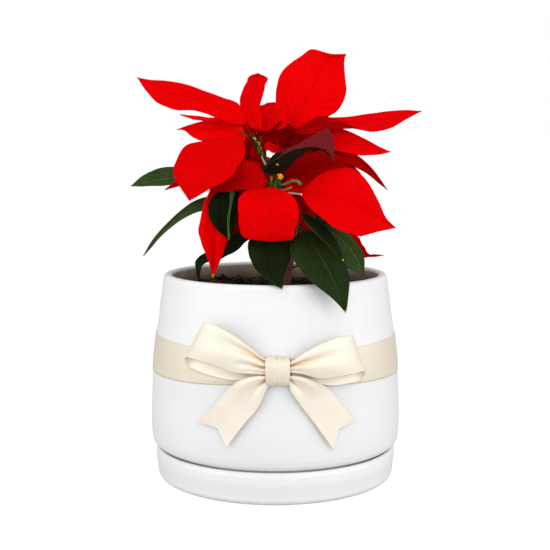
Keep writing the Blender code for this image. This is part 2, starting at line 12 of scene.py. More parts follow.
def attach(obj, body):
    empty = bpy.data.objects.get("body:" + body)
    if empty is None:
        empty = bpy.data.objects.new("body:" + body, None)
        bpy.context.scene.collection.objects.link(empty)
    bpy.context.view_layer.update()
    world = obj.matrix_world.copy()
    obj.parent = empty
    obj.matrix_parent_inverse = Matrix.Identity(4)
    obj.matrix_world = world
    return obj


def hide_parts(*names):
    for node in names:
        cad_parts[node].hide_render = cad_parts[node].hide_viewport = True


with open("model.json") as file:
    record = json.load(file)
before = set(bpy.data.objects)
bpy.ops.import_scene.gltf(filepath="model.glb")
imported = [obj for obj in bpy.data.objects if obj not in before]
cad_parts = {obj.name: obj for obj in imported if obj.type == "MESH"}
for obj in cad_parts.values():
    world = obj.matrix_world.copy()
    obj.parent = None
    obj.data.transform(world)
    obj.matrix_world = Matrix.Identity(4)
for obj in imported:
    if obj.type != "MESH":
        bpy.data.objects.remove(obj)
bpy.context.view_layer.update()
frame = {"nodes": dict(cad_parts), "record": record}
MM = 0.001
MAP = "strip"  # every grid's own map: across from 0 to 1, then along from 0 to 1


# ---------------------------------------------------------------- shader maths


class Wire:
    """One output of a shader node. Arithmetic on it adds Math nodes."""

    def __init__(self, finish, socket):
        self.finish, self.socket = finish, socket

    def math(self, operation, *values):
        return self.finish.node("Math", dict(operation=operation), values)

    def __add__(self, other):
        return self.math("ADD", self, other)

    def __radd__(self, other):
        return self.math("ADD", other, self)

    def __sub__(self, other):
        return self.math("SUBTRACT", self, other)

    def __rsub__(self, other):
        return self.math("SUBTRACT", other, self)

    def __mul__(self, other):
        return self.math("MULTIPLY", self, other)

    def __rmul__(self, other):
        return self.math("MULTIPLY", other, self)

    def __pow__(self, other):
        return self.math("POWER", self, other)

    def __abs__(self):
        return self.math("ABSOLUTE", self)

    def part(self):
        return self.math("FRACT", self)

    def most(self, other):
        return self.math("MAXIMUM", self, other)

    def ramp(self, low, high, to_low=0.0, to_high=1.0):
        """Eases from to_low to to_high as this goes from low to high."""
        return self.finish.node("MapRange", dict(interpolation_type="SMOOTHSTEP"),
                                [self, low, high, to_low, to_high])


class Finish:
    """A material, written as expressions that end in its shader's sockets."""

    def __init__(self, name, **constants):
        self.material = bpy.data.materials.new(name)
        self.material.use_nodes = True
        self.tree = self.material.node_tree
        self.shader = self.tree.nodes["Principled BSDF"]
        for socket, value in constants.items():
            self.shader.inputs[socket.replace("_", " ")].default_value = value

    def node(self, kind, settings=None, inputs=(), output=0):
        made = self.tree.nodes.new("ShaderNode" + kind)
        for key, value in (settings or {}).items():
            setattr(made, key, value)
        for key, value in inputs.items() if isinstance(inputs, dict) else enumerate(inputs):
            if isinstance(value, Wire):
                self.tree.links.new(value.socket, made.inputs[key])
            else:
                made.inputs[key].default_value = value
        return Wire(self, made.outputs[output])

    def place(self):
        return self.node("TexCoord", output="Object")

    def map_place(self):
        """The two numbers of a piece's own map: across it and along it."""
        both = self.node("UVMap", dict(uv_map=MAP))
        return [self.node("SeparateXYZ", inputs=[both], output=i) for i in (0, 1)]

    def noise(self, scale, detail, roughness=0.5):
        return self.node("TexNoise", inputs={"Vector": self.place(), "Scale": scale, "Detail": detail,
                                             "Roughness": roughness})

    def cells(self, scale, feature="F1"):
        return self.node("TexVoronoi", dict(feature=feature), {"Vector": self.place(), "Scale": scale})

    def mix(self, first, second, share):
        first, second = ((*c, 1) if isinstance(c, tuple) else c for c in (first, second))
        return self.node("Mix", dict(data_type="RGBA"), {0: share, 6: first, 7: second}, output=2)

    def feed(self, socket, value):
        self.tree.links.new(value.socket, self.shader.inputs[socket])

    def bump(self, height, distance):
        self.feed("Normal", self.node("Bump", inputs={"Height": height, "Distance": distance}))


# ---------------------------------------------------------------- finishes

VEINS = 10  # side veins on each half of a blade
VEIN_RISE = 0.30  # how far a vein climbs towards the tip, as a part of the blade's length
TIP_EASE = 0.035  # length over which a tip's colour comes in, as a part of the blade's


def red_tones(level):
    """Main colour, blotches and veins of a bract."""
    return tuple((level * part, level * 0.0002, level * hint)
                 for part, hint in ((1.0, 0.0016), (0.93, 0.0013), (0.89, 0.0012)))


def green_tones(level, pale=1.0):
    """Main colour, blotches and veins of a leaf. pale goes with how much the veins show."""
    return tuple(tuple(level * c for c in colour)
                 for colour in ((0.46, 0.88, 0.21), (0.26, 0.50, 0.11), (1.4 * pale, 2.3 * pale, 0.9 * pale)))


YELLOW_TIP = (0.72, 0.46, 0.015)
LIME_TIP = (0.34, 0.36, 0.015)
PALE_EDGE = (0.03, 0.06, 0.014)
PURPLE_SHADE = (0.145, 0.0085, 0.0105)
OLIVE = ((0.030, 0.019, 0.004), (0.018, 0.010, 0.002), (0.055, 0.040, 0.010))
SHADED_GREEN = ((0.0055, 0.0062, 0.0009), (0.0030, 0.0032, 0.0005), (0.14, 0.030, 0.022))
# Gold of the painted shade in the satin's creases
CREASE_SHADE_GOLD = (0.80, 0.53, 0.24)
WOVEN_EDGE = (0.70, 0.60, 0.44)

RED_TISSUE = dict(Specular_IOR_Level=0.006, Subsurface_Weight=0.2, Subsurface_Scale=0.002,
                  Subsurface_Radius=(1.0, 0.02, 0.02))
GREEN_TISSUE = dict(Specular_IOR_Level=0.028)

# How bright each red is. They are all the one bract red: the lighter ones are painted light and the darker
# ones painted shade, set to how much light each blade gets where it sits
RED_LIGHT_AND_SHADE = dict(bract_lit_red=1.0, bract_painted_light_red=0.78, bract_red=0.67, bract_light_shade_red=0.62, bract_half_shade_red=0.57,
            bract_more_shade_red=0.47, bract_deep_red=0.40, bract_shaded_red=0.29, bract_dim_red=0.19,
            bract_dark_red=0.13)

# What each green is made with. The levels are partly the leaves' own greens and partly painted light and
# shade, lighter or darker for how much light each leaf gets where it sits
GREENS = {
    "leaf_green": dict(tones=green_tones(0.037, 0.75), edge=PALE_EDGE),
    "leaf_bright_and_lit": dict(tones=green_tones(0.083), edge=PALE_EDGE),
    "leaf_deep_shaded_green": dict(tones=green_tones(0.024)),
    "leaf_dark_shaded_green": dict(tones=green_tones(0.0160, 0.45)),
    "leaf_green_tipped": dict(tones=green_tones(0.036, 0.7), tip=YELLOW_TIP, tip_from=0.97),
    "leaf_lime_tipped": dict(tones=green_tones(0.0205, 0.42), tip=LIME_TIP, tip_from=0.97),
    "leaf_narrow_tipped": dict(tones=green_tones(0.024), edge=(0.07, 0.09, 0.02), tip=YELLOW_TIP,
                               tip_from=0.97),
    "leaf_fresh": dict(tones=green_tones(0.080), edge=(0.10, 0.16, 0.045)),
    "leaf_pale": dict(tones=green_tones(0.20), edge=(0.17, 0.22, 0.06), tip=(0.16, 0.30, 0.02),
                      tip_from=0.85),
    "leaf_olive": dict(tones=OLIVE),
    "leaf_shaded": dict(tones=SHADED_GREEN, other_half=PURPLE_SHADE),
}

# Stalks, buds and bits of the soil: main colour, blotches, and the colour of a stalk that runs on as a rib
STALKS = {
    "stalk_red": ((0.30, 0.002, 0.003), (0.20, 0.002, 0.003), (0.62, 0.0004, 0.0012)),
    # A red stalk darkened as painted shade, for the blades in the darker reds
    "stalk_painted_shade_red": ((0.22, 0.002, 0.003), (0.15, 0.002, 0.003), (0.16, 0.0004, 0.0006)),
    "stalk_dark": ((0.030, 0.018, 0.012), (0.055, 0.010, 0.009)),
    "leaf_stalk": ((0.050, 0.050, 0.020), (0.10, 0.030, 0.018), (0.020, 0.036, 0.011)),
    "leaf_fresh_stalk": ((0.23, 0.29, 0.12), (0.11, 0.16, 0.055)),
    "stalk_pale_green": ((0.55, 0.52, 0.38), (0.38, 0.40, 0.26)),
    "stalk_pale": ((0.62, 0.30, 0.24), (0.50, 0.22, 0.16)),
    "bud_green": ((0.085, 0.240, 0.018), (0.030, 0.090, 0.008)),
    "bud_dark": ((0.012, 0.030, 0.006), (0.025, 0.060, 0.010)),
    "bud_yellow": ((0.86, 0.42, 0.010), (0.55, 0.16, 0.004)),
    "bud_red": ((0.55, 0.012, 0.006), (0.62, 0.12, 0.006)),
    "moss": ((0.085, 0.095, 0.030), (0.028, 0.036, 0.010)),
    "bark": ((0.11, 0.060, 0.030), (0.035, 0.018, 0.010)),
}

# Satin: thread, the shade between threads, and the far half of a loop, lighter as painted light. Each is the
# one satin, lighter or darker as painted light and shade for where its part sits
SATINS = {
    "satin_ribbon": ((0.915, 0.84, 0.73), (0.895, 0.805, 0.675)),
    "satin_loop": ((0.825, 0.745, 0.63), (0.81, 0.715, 0.585), (0.97, 0.865, 0.715)),
    "satin_band": ((0.77, 0.685, 0.555), (0.745, 0.655, 0.52)),
}

# Heights and radii in metres over which the glaze changes, each written as (from, to)
INSIDE_RADII = (0.0690, 0.0676)
UNDER_LIP = (0.1312, 0.1290)
NEAR_SOIL = (0.1285, 0.1215)
# Where the painted shadow in the gap over the saucer lies
GAP_SHADOW_BOTTOM = (0.0206, 0.0209)
GAP_SHADOW_TOP = (0.0225, 0.0219)
GAP_SHADOW_OUTSIDE = (0.0780, 0.0772)
GAP_SHADOW_SIDES = (0.030, 0.062)
WOODY_TO_GREEN = (0.162, 0.180)  # height where the stem's bark gives way to green


def blade_finish(name, tones, tip=None, tip_from=0.95, edge=None, other_half=None, **constants):
    """Leaf tissue: a rib and side veins, a fine net between them, and soft blotches."""
    main, deep, vein = tones
    made = Finish(name, **constants)
    across, along = made.map_place()
    out = abs(across - 0.5) * 2.0
    phase = ((along - out**0.85 * VEIN_RISE) * VEINS).part()
    ridge = abs(phase - 0.5) * 2.0
    side_veins = ridge.ramp(0.86, 0.99) * out.ramp(1.0, 0.35) * along.ramp(1.0, 0.8)
    rib = out.ramp(0.07, 0.015)
    veins = (side_veins * 0.6).most(rib)
    net = made.cells(900.0, feature="DISTANCE_TO_EDGE").ramp(0.0, 0.12)
    blotch = made.noise(60.0, 3.0).ramp(0.35, 0.7)
    if other_half:
        this_half = (across.ramp(0.47, 0.53) + along.ramp(0.42, 0.24)).ramp(0.0, 1.0)
        main = made.mix(other_half, main, this_half)
        deep = made.mix(other_half, deep, this_half)
    tissue = made.mix(main, deep, blotch * 0.7 + (1.0 - net) * 0.12)
    colour = made.mix(tissue, vein, veins * 0.7)
    if edge:
        colour = made.mix(colour, edge, out.ramp(0.92, 1.0) * 0.6)
    if tip:
        colour = made.mix(colour, tip, (along + out * 0.01).ramp(tip_from, tip_from + TIP_EASE))
    made.feed("Base Color", colour)
    made.feed("Roughness", made.noise(240.0, 2.0).ramp(0.2, 0.8, 0.46, 0.62))
    made.bump(veins * 0.4 + net * 0.10 + made.noise(500.0, 2.0) * 0.2, 0.00025)
    return made.material


def make_finishes():
    made = {"stem_green": stem_finish(), "soil": soil_finish(), "white_glaze": glaze_finish()}
    for name, level in RED_LIGHT_AND_SHADE.items():
        made[name] = blade_finish(name, red_tones(level), **RED_TISSUE)
    # The tipped bract red is lighter than the plain one as painted light; its yellow tip is its own colour
    made["bract_red_tipped"] = blade_finish("bract_red_tipped", red_tones(0.93), tip=YELLOW_TIP, **RED_TISSUE)
    for name, looks in GREENS.items():
        made[name] = blade_finish(name, **looks, **GREEN_TISSUE)
    for name, colours in STALKS.items():
        made[name] = stalk_finish(name, *colours)
    for name, colours in SATINS.items():
        made[name] = satin_finish(name, *colours)
    return made


def stalk_finish(name, main, other, rib=None):
    """A stalk's skin. rib is the colour where it runs on under a blade."""
    made = Finish(name, Roughness=0.6, Specular_IOR_Level=0.03)
    colour = made.mix(main, other, made.noise(160.0, 4.0).ramp(0.35, 0.65))
    if rib:
        colour = made.mix(colour, rib, made.map_place()[1].ramp(0.13, 0.24))
    made.feed("Base Color", colour)
    made.bump(made.noise(700.0, 3.0), 0.0003)
    return made.material


def stem_finish():
    """Woody and pinkish brown low down, dark green higher up."""
    made = Finish("stem_green", Roughness=0.6, Specular_IOR_Level=0.15)
    streaks = made.noise(160.0, 4.0).ramp(0.35, 0.65)
    wood = made.mix((0.20, 0.080, 0.056), (0.11, 0.030, 0.022), streaks)
    shoot = made.mix((0.022, 0.034, 0.009), (0.050, 0.024, 0.014), streaks)
    height = made.node("SeparateXYZ", inputs=[made.place()], output=2)
    made.feed("Base Color", made.mix(wood, shoot, height.ramp(*WOODY_TO_GREEN)))
    made.bump(made.noise(420.0, 4.0) + made.cells(160.0) * 0.5, 0.0006)
    return made.material


def soil_finish():
    made = Finish("soil_mix", Roughness=0.95, Specular_IOR_Level=0.15)
    grain = made.noise(900.0, 5.0, 0.65)
    crumbs = made.cells(420.0)
    colour = made.mix((0.018, 0.010, 0.007), (0.075, 0.046, 0.028), grain.ramp(0.45, 0.8))
    made.feed("Base Color", made.mix(colour, (0.008, 0.005, 0.004), crumbs.ramp(0.5, 0.1) * 0.6))
    made.bump(grain + crumbs, 0.0012)
    return made.material


def glaze_finish():
    """White glaze, with painted shadow in the gap over the saucer, and the pot's greyish brown inside, darker
    towards the soil.
    """
    made = Finish("white_glaze", Coat_Weight=0.12, Coat_Roughness=0.3, Specular_IOR_Level=0.35)
    x, y, z = (made.node("SeparateXYZ", inputs=[made.place()], output=i) for i in range(3))
    radius = (x * x + y * y) ** 0.5
    inside = radius.ramp(*INSIDE_RADII) * z.ramp(*UNDER_LIP)
    mottle = made.noise(18.0, 3.0).ramp(0.3, 0.7)
    glaze = made.mix((0.780, 0.782, 0.797), (0.800, 0.802, 0.813), mottle)
    stain = made.noise(60.0, 4.0).ramp(0.3, 0.7)
    # The inside: greyish brown, darker towards the soil
    inside_tone = made.mix((0.38, 0.315, 0.26), (0.30, 0.235, 0.185), stain)
    inside_towards_soil = made.mix(inside_tone, (0.125, 0.082, 0.052), z.ramp(*NEAR_SOIL) * 0.75 + stain * 0.1)
    # Painted shadow: the glaze turns near black in the gap between the pot's heel and the saucer's lip, more
    # so towards the sides
    painted_gap_shadow = z.ramp(*GAP_SHADOW_BOTTOM) * z.ramp(*GAP_SHADOW_TOP) * radius.ramp(*GAP_SHADOW_OUTSIDE)
    glaze = made.mix(glaze, (0.02, 0.02, 0.018), painted_gap_shadow * abs(x).ramp(*GAP_SHADOW_SIDES))
    made.feed("Base Color", made.mix(glaze, inside_towards_soil, inside))
    made.feed("Roughness", inside * 0.3 + made.noise(30.0, 3.0).ramp(0.3, 0.7, 0.34, 0.40))
    made.bump(made.noise(26.0, 2.0) * 0.5 + made.noise(240.0, 2.0) * 0.05, 0.0004)
    return made.material


def satin_finish(name, thread, shade, far_half_painted_light=None):
    """Cream satin: fine threads, woven edges, and gold painted shade deep in the creases.

    The last colour is a loop's far half, lighter as painted light where the loop's front half shades it."""
    made = Finish(name, Metallic=0.12, Sheen_Weight=0.06, Sheen_Roughness=0.4, Anisotropic=0.6,
                  Specular_IOR_Level=0.8)
    across, along = made.map_place()
    threads = made.node("TexWave", dict(wave_type="BANDS", bands_direction="X"),
                        {"Vector": made.node("UVMap", dict(uv_map=MAP)), "Scale": 40.0})
    crease_shade = made.node("Attribute", dict(attribute_name="crease_shade"), output=2)
    cloud = made.noise(25.0, 1.0).ramp(0.2, 0.8)
    out = abs(across - 0.5) * 2.0
    colour = made.mix(thread, shade, cloud * 0.7 + threads * 0.1)
    if far_half_painted_light:
        colour = made.mix(colour, far_half_painted_light, along.ramp(0.52, 0.58))
    colour = made.mix(colour, WOVEN_EDGE, out.ramp(0.945, 0.975) * 0.4)
    # Painted shade: gold deepening in the creases near the knot
    made.feed("Base Color", made.mix(colour, CREASE_SHADE_GOLD, crease_shade.ramp(0.1, 0.9)))
    made.feed("Roughness", cloud * 0.03 + 0.32)
    made.bump(threads * 0.12 + out.ramp(0.93, 0.97), 0.00008)
    return made.material


# ---------------------------------------------------------------- shared tools

WELD = 1e-7  # how near two points are merged, in metres


def piece(name, mesh, material, slot, node=None):
    """A finished piece, riding with the plant and standing for its frame node."""
    obj = bpy.data.objects.new(name, mesh)
    bpy.context.scene.collection.objects.link(obj)
    mesh.materials.clear()
    mesh.materials.append(FINISH[material])
    for face in mesh.polygons:
        face.use_smooth = True
    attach(obj, "root")
    if node:
        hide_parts(node)
    return obj


def thicken(obj, thickness):
    solid = obj.modifiers.new("thickness", "SOLIDIFY")
    solid.thickness = thickness
    solid.offset = 0


def to_mesh(shape, name):
    mesh = bpy.data.meshes.new(name)
    shape.to_mesh(mesh)
    shape.free()
    return mesh


def hermite(points, at, x):
    """The point at x on a smooth curve that passes through points[i] at at[i]."""
    last = len(points) - 1
    i = min(last - 1, max(j for j in range(last) if at[j] <= x or j == 0))

    def slope(j):
        if j == 0 or j == last:
            j = max(j, 1)
            return (points[j] - points[j - 1]) / (at[j] - at[j - 1])
        before = (points[j] - points[j - 1]) / (at[j] - at[j - 1])
        after = (points[j + 1] - points[j]) / (at[j + 1] - at[j])
        share = (at[j + 1] - at[j]) / (at[j + 1] - at[j - 1])
        return before * share + after * (1 - share)

    span = at[i + 1] - at[i]
    t = (x - at[i]) / span
    return (points[i] * (2 * t**3 - 3 * t**2 + 1) + slope(i) * span * (t**3 - 2 * t**2 + t)
            + points[i + 1] * (3 * t**2 - 2 * t**3) + slope(i + 1) * span * (t**3 - t**2))


def lengths(points):
    """How far along the path each point lies, as parts of the whole."""
    at = [0.0]
    for a, b in zip(points, points[1:]):
        at.append(at[-1] + (b - a).length)
    return [x / at[-1] for x in at]


def between(x, table):
    """The value at x in a table of (x, value)."""
    xs = [row[0] for row in table]
    return hermite([row[1] for row in table], xs, x)


def smooth(points, count):
    """count points, evenly spaced on the smooth curve through these."""
    points = [Vector(point) for point in points]
    at = lengths(points)
    return [hermite(points, at, i / (count - 1)) for i in range(count)]


def sheet_grid(across, along, place, crease_shade=None):
    """A grid whose point at (u from -1 to 1, v from 0 to 1) lies at place(u, v), with its own map."""
    shape = bmesh.new()
    bmesh.ops.create_grid(shape, x_segments=across, y_segments=along, size=1)
    layer = shape.loops.layers.uv.new(MAP)
    for face in shape.faces:
        for loop in face.loops:
            loop[layer].uv = (loop.vert.co.x / 2 + 0.5, loop.vert.co.y / 2 + 0.5)
    # The optional last argument gives each point its share of painted crease shade, kept as an attribute
    if crease_shade:
        depth = shape.verts.layers.float.new("crease_shade")
    for vertex in shape.verts:
        u, v = vertex.co.x, vertex.co.y / 2 + 0.5
        vertex.co = place(u, v)
        if crease_shade:
            vertex[depth] = crease_shade(u, v)
    return shape


def closed(shape):
    """Welds a grid's seams and poles, and turns its faces outwards."""
    bmesh.ops.remove_doubles(shape, verts=shape.verts, dist=WELD)
    holes = [edge for edge in shape.edges if edge.is_boundary]
    if holes:
        bmesh.ops.holes_fill(shape, edges=holes)
    bmesh.ops.recalc_face_normals(shape, faces=shape.faces)
    return shape


def tube(points, radii, sides):
    """A round tube through the points, closed at both ends, with a radius at each point."""
    frames = []
    side = Vector((0.3, 0.2, 1))
    for i, point in enumerate(points):
        ahead = (points[min(i + 1, len(points) - 1)] - points[max(i - 1, 0)]).normalized()
        side = (side - ahead * side.dot(ahead)).normalized()
        frames.append((side, ahead.cross(side)))

    def place(u, v):
        i = round(v * (len(points) - 1))
        first, second = frames[i]
        return points[i] + (first * math.cos(math.pi * u) + second * math.sin(math.pi * u)) * radii[i]

    return closed(sheet_grid(sides, len(points) - 1, place))


def together(shapes):
    """The shapes as one."""
    whole = bmesh.new()
    for shape in shapes:
        part = to_mesh(shape, "part")
        whole.from_mesh(part)
        bpy.data.meshes.remove(part)
    return whole


def blob(centre, size, roughness, detail=1, turn=None):
    """A rough lump. centre is in metres, size is its three half lengths in mm."""
    shape = bmesh.new()
    bmesh.ops.create_icosphere(shape, subdivisions=detail, radius=1)
    for vertex in shape.verts:
        vertex.co *= 1 + roughness * noise.noise(vertex.co * 1.7 + centre * 900)
    matrix = Matrix.Translation(centre)
    if turn:
        matrix = matrix @ turn.to_matrix().to_4x4()
    bmesh.ops.transform(shape, matrix=matrix @ Matrix.Diagonal((*(Vector(size) * MM), 1)), verts=shape.verts)
    return shape


FINISH = make_finishes()


# ---------------------------------------------------------------- reading the frame's blades

RECORD_SLOT = {entry["node"]: entry["material_slot"] for entry in frame["record"]["subparts"]}
STEM_POINTS = [vertex.co.copy() for vertex in frame["nodes"]["stem"].data.vertices]
RING = 6  # points in each ring of a blade's solid


def rows_of(node):
    """(left, middle, right) of each row of a blade in the frame, from the stalk's foot to the tip.

    Vertices are kept in lists, so that their order and the sums over them are the same each run."""
    shape = bmesh.new()
    shape.from_mesh(frame["nodes"][node].data)
    bmesh.ops.remove_doubles(shape, verts=shape.verts, dist=1e-5)

    def neighbours(vertex):
        return [edge.other_vert(vertex) for edge in vertex.link_edges]

    def rings_from(vertex):
        rings = [sorted(shape.verts, key=lambda v: (v.co - vertex.co).length)[:RING]]
        seen = set(rings[0])
        while rings[-1]:
            rings.append(list(dict.fromkeys(n for v in rings[-1] for n in neighbours(v) if n not in seen)))
            seen.update(rings[-1])
        return rings[:-1]

    def from_stem(rings):
        return min((v.co - p).length for v in rings[0] for p in STEM_POINTS)

    from_ends = [rings for rings in map(rings_from, shape.verts) if all(len(ring) == RING for ring in rings)]
    rings = min(from_ends, key=from_stem)
    rows = []
    for ring in rings:
        if ring is rings[0] or ring is rings[-1]:
            middle = sum((v.co for v in ring), Vector()) / RING
            rows.append([middle, middle, middle])
            continue
        loop = ring[:1]
        while len(loop) < RING:
            loop.append(next(v for v in neighbours(loop[-1]) if v in ring and v not in loop))
        k = min(range(3), key=lambda i: (loop[i].co - loop[i + 3].co).length)
        loop = loop[k:] + loop[:k]
        sides = [(loop[1].co + loop[2].co) / 2, (loop[4].co + loop[5].co) / 2]
        if rows[1:] and (sides[0] - rows[-1][0]).length > (sides[0] - rows[-1][2]).length:
            sides.reverse()
        rows.append([sides[0], (loop[0].co + loop[3].co) / 2, sides[1]])
    shape.free()
    return rows


# Blades, in mm where no other unit is given
BLADE_THICK = 0.4
WAVES = 2.3  # along each edge
QUILT = 0.3  # how high the tissue swells between its veins
FLUTTER = 0.7  # how far the edge strays at random
RIB_GROOVE = 0.35  # how deep the tissue dips over its rib
STALK_RADIUS = 0.85
RIB_RADIUS = 0.62
RIB_END = 0.94  # place along the blade where the rib runs out
TOOTH_REACH = 0.10  # how far along the edge a tooth spreads, as a part of the blade's length
PLAIN = ((0, 1, 1), (1, 1, 1))
UPPER_SIDE = Vector((0, -0.6, 0.8))  # where the upper side of a blade mostly faces
# Reds darkened as painted shade; a blade in one of them gets a stalk darkened as painted shade too
PAINTED_SHADE_REDS = ("bract_dark_red", "bract_shaded_red", "bract_deep_red")


def blade(name, rows, material, node=None, wave=0.06, cup=0.05, teeth=(), broad=PLAIN, tip=None):
    """A leaf or bract of fine tissue on rows of (left, middle, right) points, with its round stalk and rib.

    wave and cup are heights, as parts of its half width. teeth are corners of its outline: (-1 for the left
    edge or 1 for the right, place along it, size in mm). broad widens its halves: (place along it, left,
    right). tip moves its last row, in mm."""
    across_way = sum(((row[0] - row[2]) for row in rows[1:-1]), Vector())
    if across_way.dot((rows[-1][1] - rows[1][1]).cross(UPPER_SIDE)) > 0:
        rows = [row[::-1] for row in rows]
    draw = random.Random(name)
    turns = [draw.uniform(0, 2 * math.pi) for _ in range(4)]
    drift = Vector([draw.uniform(-50, 50) for _ in range(3)])
    body = [list(row) for row in rows[1:]]
    if tip:
        body[-1] = [point + Vector(tip) * MM for point in body[-1]]
    middles = [row[1] for row in body]
    at = lengths(middles)
    half = [[row[side] - row[1] for row in body] for side in (0, 2)]
    up = sum((a + b for a, b in zip(*half)), Vector()).normalized()
    widest = max(v.length for side in half for v in side)

    def rib(v):
        return hermite(middles, at, v)

    def lift(v):
        ahead = (rib(min(1, v + 0.02)) - rib(max(0, v - 0.02))).normalized()
        return (up - ahead * up.dot(ahead)).normalized()

    def place(u, v):
        side = 0 if u < 0 else 1
        out = abs(u)
        reach = hermite(half[side], at, v)
        centre = rib(v)
        ragged = 1 + 0.035 * noise.noise(Vector((v * 9, side * 7, 0)) + drift) * out
        ragged += between(v, [(row[0], row[1 + side]) for row in broad]) - 1
        width = reach.length
        for edge, at_v, size in teeth:
            if edge == (-1, 1)[side]:
                ragged += size * MM / max(width, MM) * max(0, 1 - abs(v - at_v) / TOOTH_REACH) * out**2
        point = centre + reach * out * ragged
        phase = (v - out**0.85 * VEIN_RISE) * VEINS
        open_part = math.sin(math.pi * min(1, max(0, v))) ** 0.5
        height = cup * width * (1 - (2 * out - 1) ** 2)
        height -= QUILT * MM * math.cos(2 * math.pi * phase) * math.sin(math.pi * out**0.8) * open_part
        height += wave * width * out**2.5 * open_part * math.sin(2 * math.pi * WAVES * v + turns[side])
        height += FLUTTER * MM * out * noise.noise(centre * 45 + drift + Vector((u, 0, 0)))
        height -= RIB_GROOVE * MM * max(0, 1 - out / 0.10) * open_part
        return point + lift(v) * height

    long = sum((b - a).length for a, b in zip(middles, middles[1:]))
    along = max(36, min(96, round(long / MM * 1.3)))
    across = 2 * max(6, min(14, round(widest / MM * 0.8)))
    slot = RECORD_SLOT[node] if node else "bract_deep_red"
    thicken(piece(f"{name}_blade", to_mesh(sheet_grid(across, along, place), name), material, slot, node),
            BLADE_THICK * MM)

    foot = rows[0][1]
    path, radii = [], []
    for i in range(5):
        path.append(foot.lerp(middles[0], i / 5))
        radii.append((STALK_RADIUS - 0.05 * i) * MM)
    for i in range(25):
        v = i / 24 * RIB_END
        path.append(place(0, v) - lift(v) * (0.15 + 0.1 * (1 - v)) * MM)
        radii.append((RIB_RADIUS * (1 - v) ** 1.3 + 0.10) * MM)
    stalk = "leaf_stalk" if material.startswith("leaf") else "stalk_red"
    if material in PAINTED_SHADE_REDS:
        stalk = "stalk_painted_shade_red"
    piece(f"{name}_stalk", to_mesh(tube(path, radii, 8), f"{name}_stalk"), stalk, slot)


# Blades in another finish than their slot's own: mostly a lighter copy of their red or green as painted
# light, or a darker copy as painted shade
BLADE_FINISH = {
    "bract_hanging": "bract_red_tipped", "bract_top_right": "bract_painted_light_red",
    "bract_left": "bract_painted_light_red", "bract_right_mid": "bract_painted_light_red",
    "bract_low_right": "bract_half_shade_red", "bract_front_left": "bract_light_shade_red",
    "bract_upright_back": "bract_red", "bract_centre": "bract_dim_red", "bract_inner_back": "bract_dim_red",
    "bract_left_back": "bract_lit_red", "bract_right_front": "bract_shaded_red",
    "bract_inner_left": "bract_painted_light_red", "bract_inner_right": "bract_lit_red",
    "bract_under": "bract_shaded_red", "bract_right_shaded": "bract_shaded_red",
    "bract_right_curled": "bract_shaded_red", "bract_back": "bract_half_shade_red", "bract_small": "bract_half_shade_red",
    "bract_front_shaded": "bract_more_shade_red", "leaf_front": "leaf_lime_tipped",
    "leaf_front_right": "leaf_green_tipped", "leaf_front_left": "leaf_dark_shaded_green",
    "leaf_low_left": "leaf_deep_shaded_green", "leaf_narrow": "leaf_narrow_tipped", "leaf_left": "leaf_fresh",
    "leaf_left_drooping": "leaf_fresh", "leaf_right": "leaf_bright_and_lit", "leaf_centre": "leaf_shaded",
}

# Blades in another form than a plain one, as blade() takes it
BLADE_FORM = {
    "bract_top_right": dict(wave=0.02),
    "bract_upper_left": dict(broad=[(0, 1.3, 1.5), (0.3, 1, 1), (1, 1, 1)]),
    "bract_left": dict(broad=[(0, 1.8, 1.8), (0.35, 1.1, 1.3), (1, 1, 1)]),
    "bract_low_right": dict(wave=0.02),
    "bract_front_right": dict(teeth=[(1, 0.78, 1.8)]),
    "bract_front": dict(wave=0.02, cup=0.02),
    "bract_upright_back": dict(broad=[(0, 2.2, 2.2), (0.5, 1.6, 1.4), (1, 2.0, 2.0)],
                               teeth=[(-1, 0.93, 2.5), (1, 0.9, 3.0)]),
    "bract_centre": dict(broad=[(0, 1.3, 1.2), (0.5, 1.25, 1.6), (1, 1, 1)]),
    "bract_inner_back": dict(broad=[(0, 1.3, 1.3), (1, 1.3, 1.3)]),
    "bract_right_shaded": dict(broad=[(0, 1.3, 1.2), (0.5, 1.15, 1.1), (1, 1, 1)]),
    "bract_small": dict(wave=0.02, cup=0.12),
    "bract_front_shaded": dict(broad=[(0, 1.25, 1.25), (1, 1.25, 1.25)]),
    "leaf_front_right": dict(broad=[(0, 1, 1), (0.75, 1, 0.95), (0.93, 0.9, 0.6), (1, 1, 0.5)]),
    "leaf_low_left": dict(wave=0.02),
    "leaf_narrow": dict(tip=(-0.5, 0, 2.4)),
    "leaf_right": dict(broad=[(0, 1, 1), (0.5, 1, 1.2), (0.8, 1, 1.6), (1, 1, 1.3)]),
    "leaf_centre": dict(wave=0.02),
}
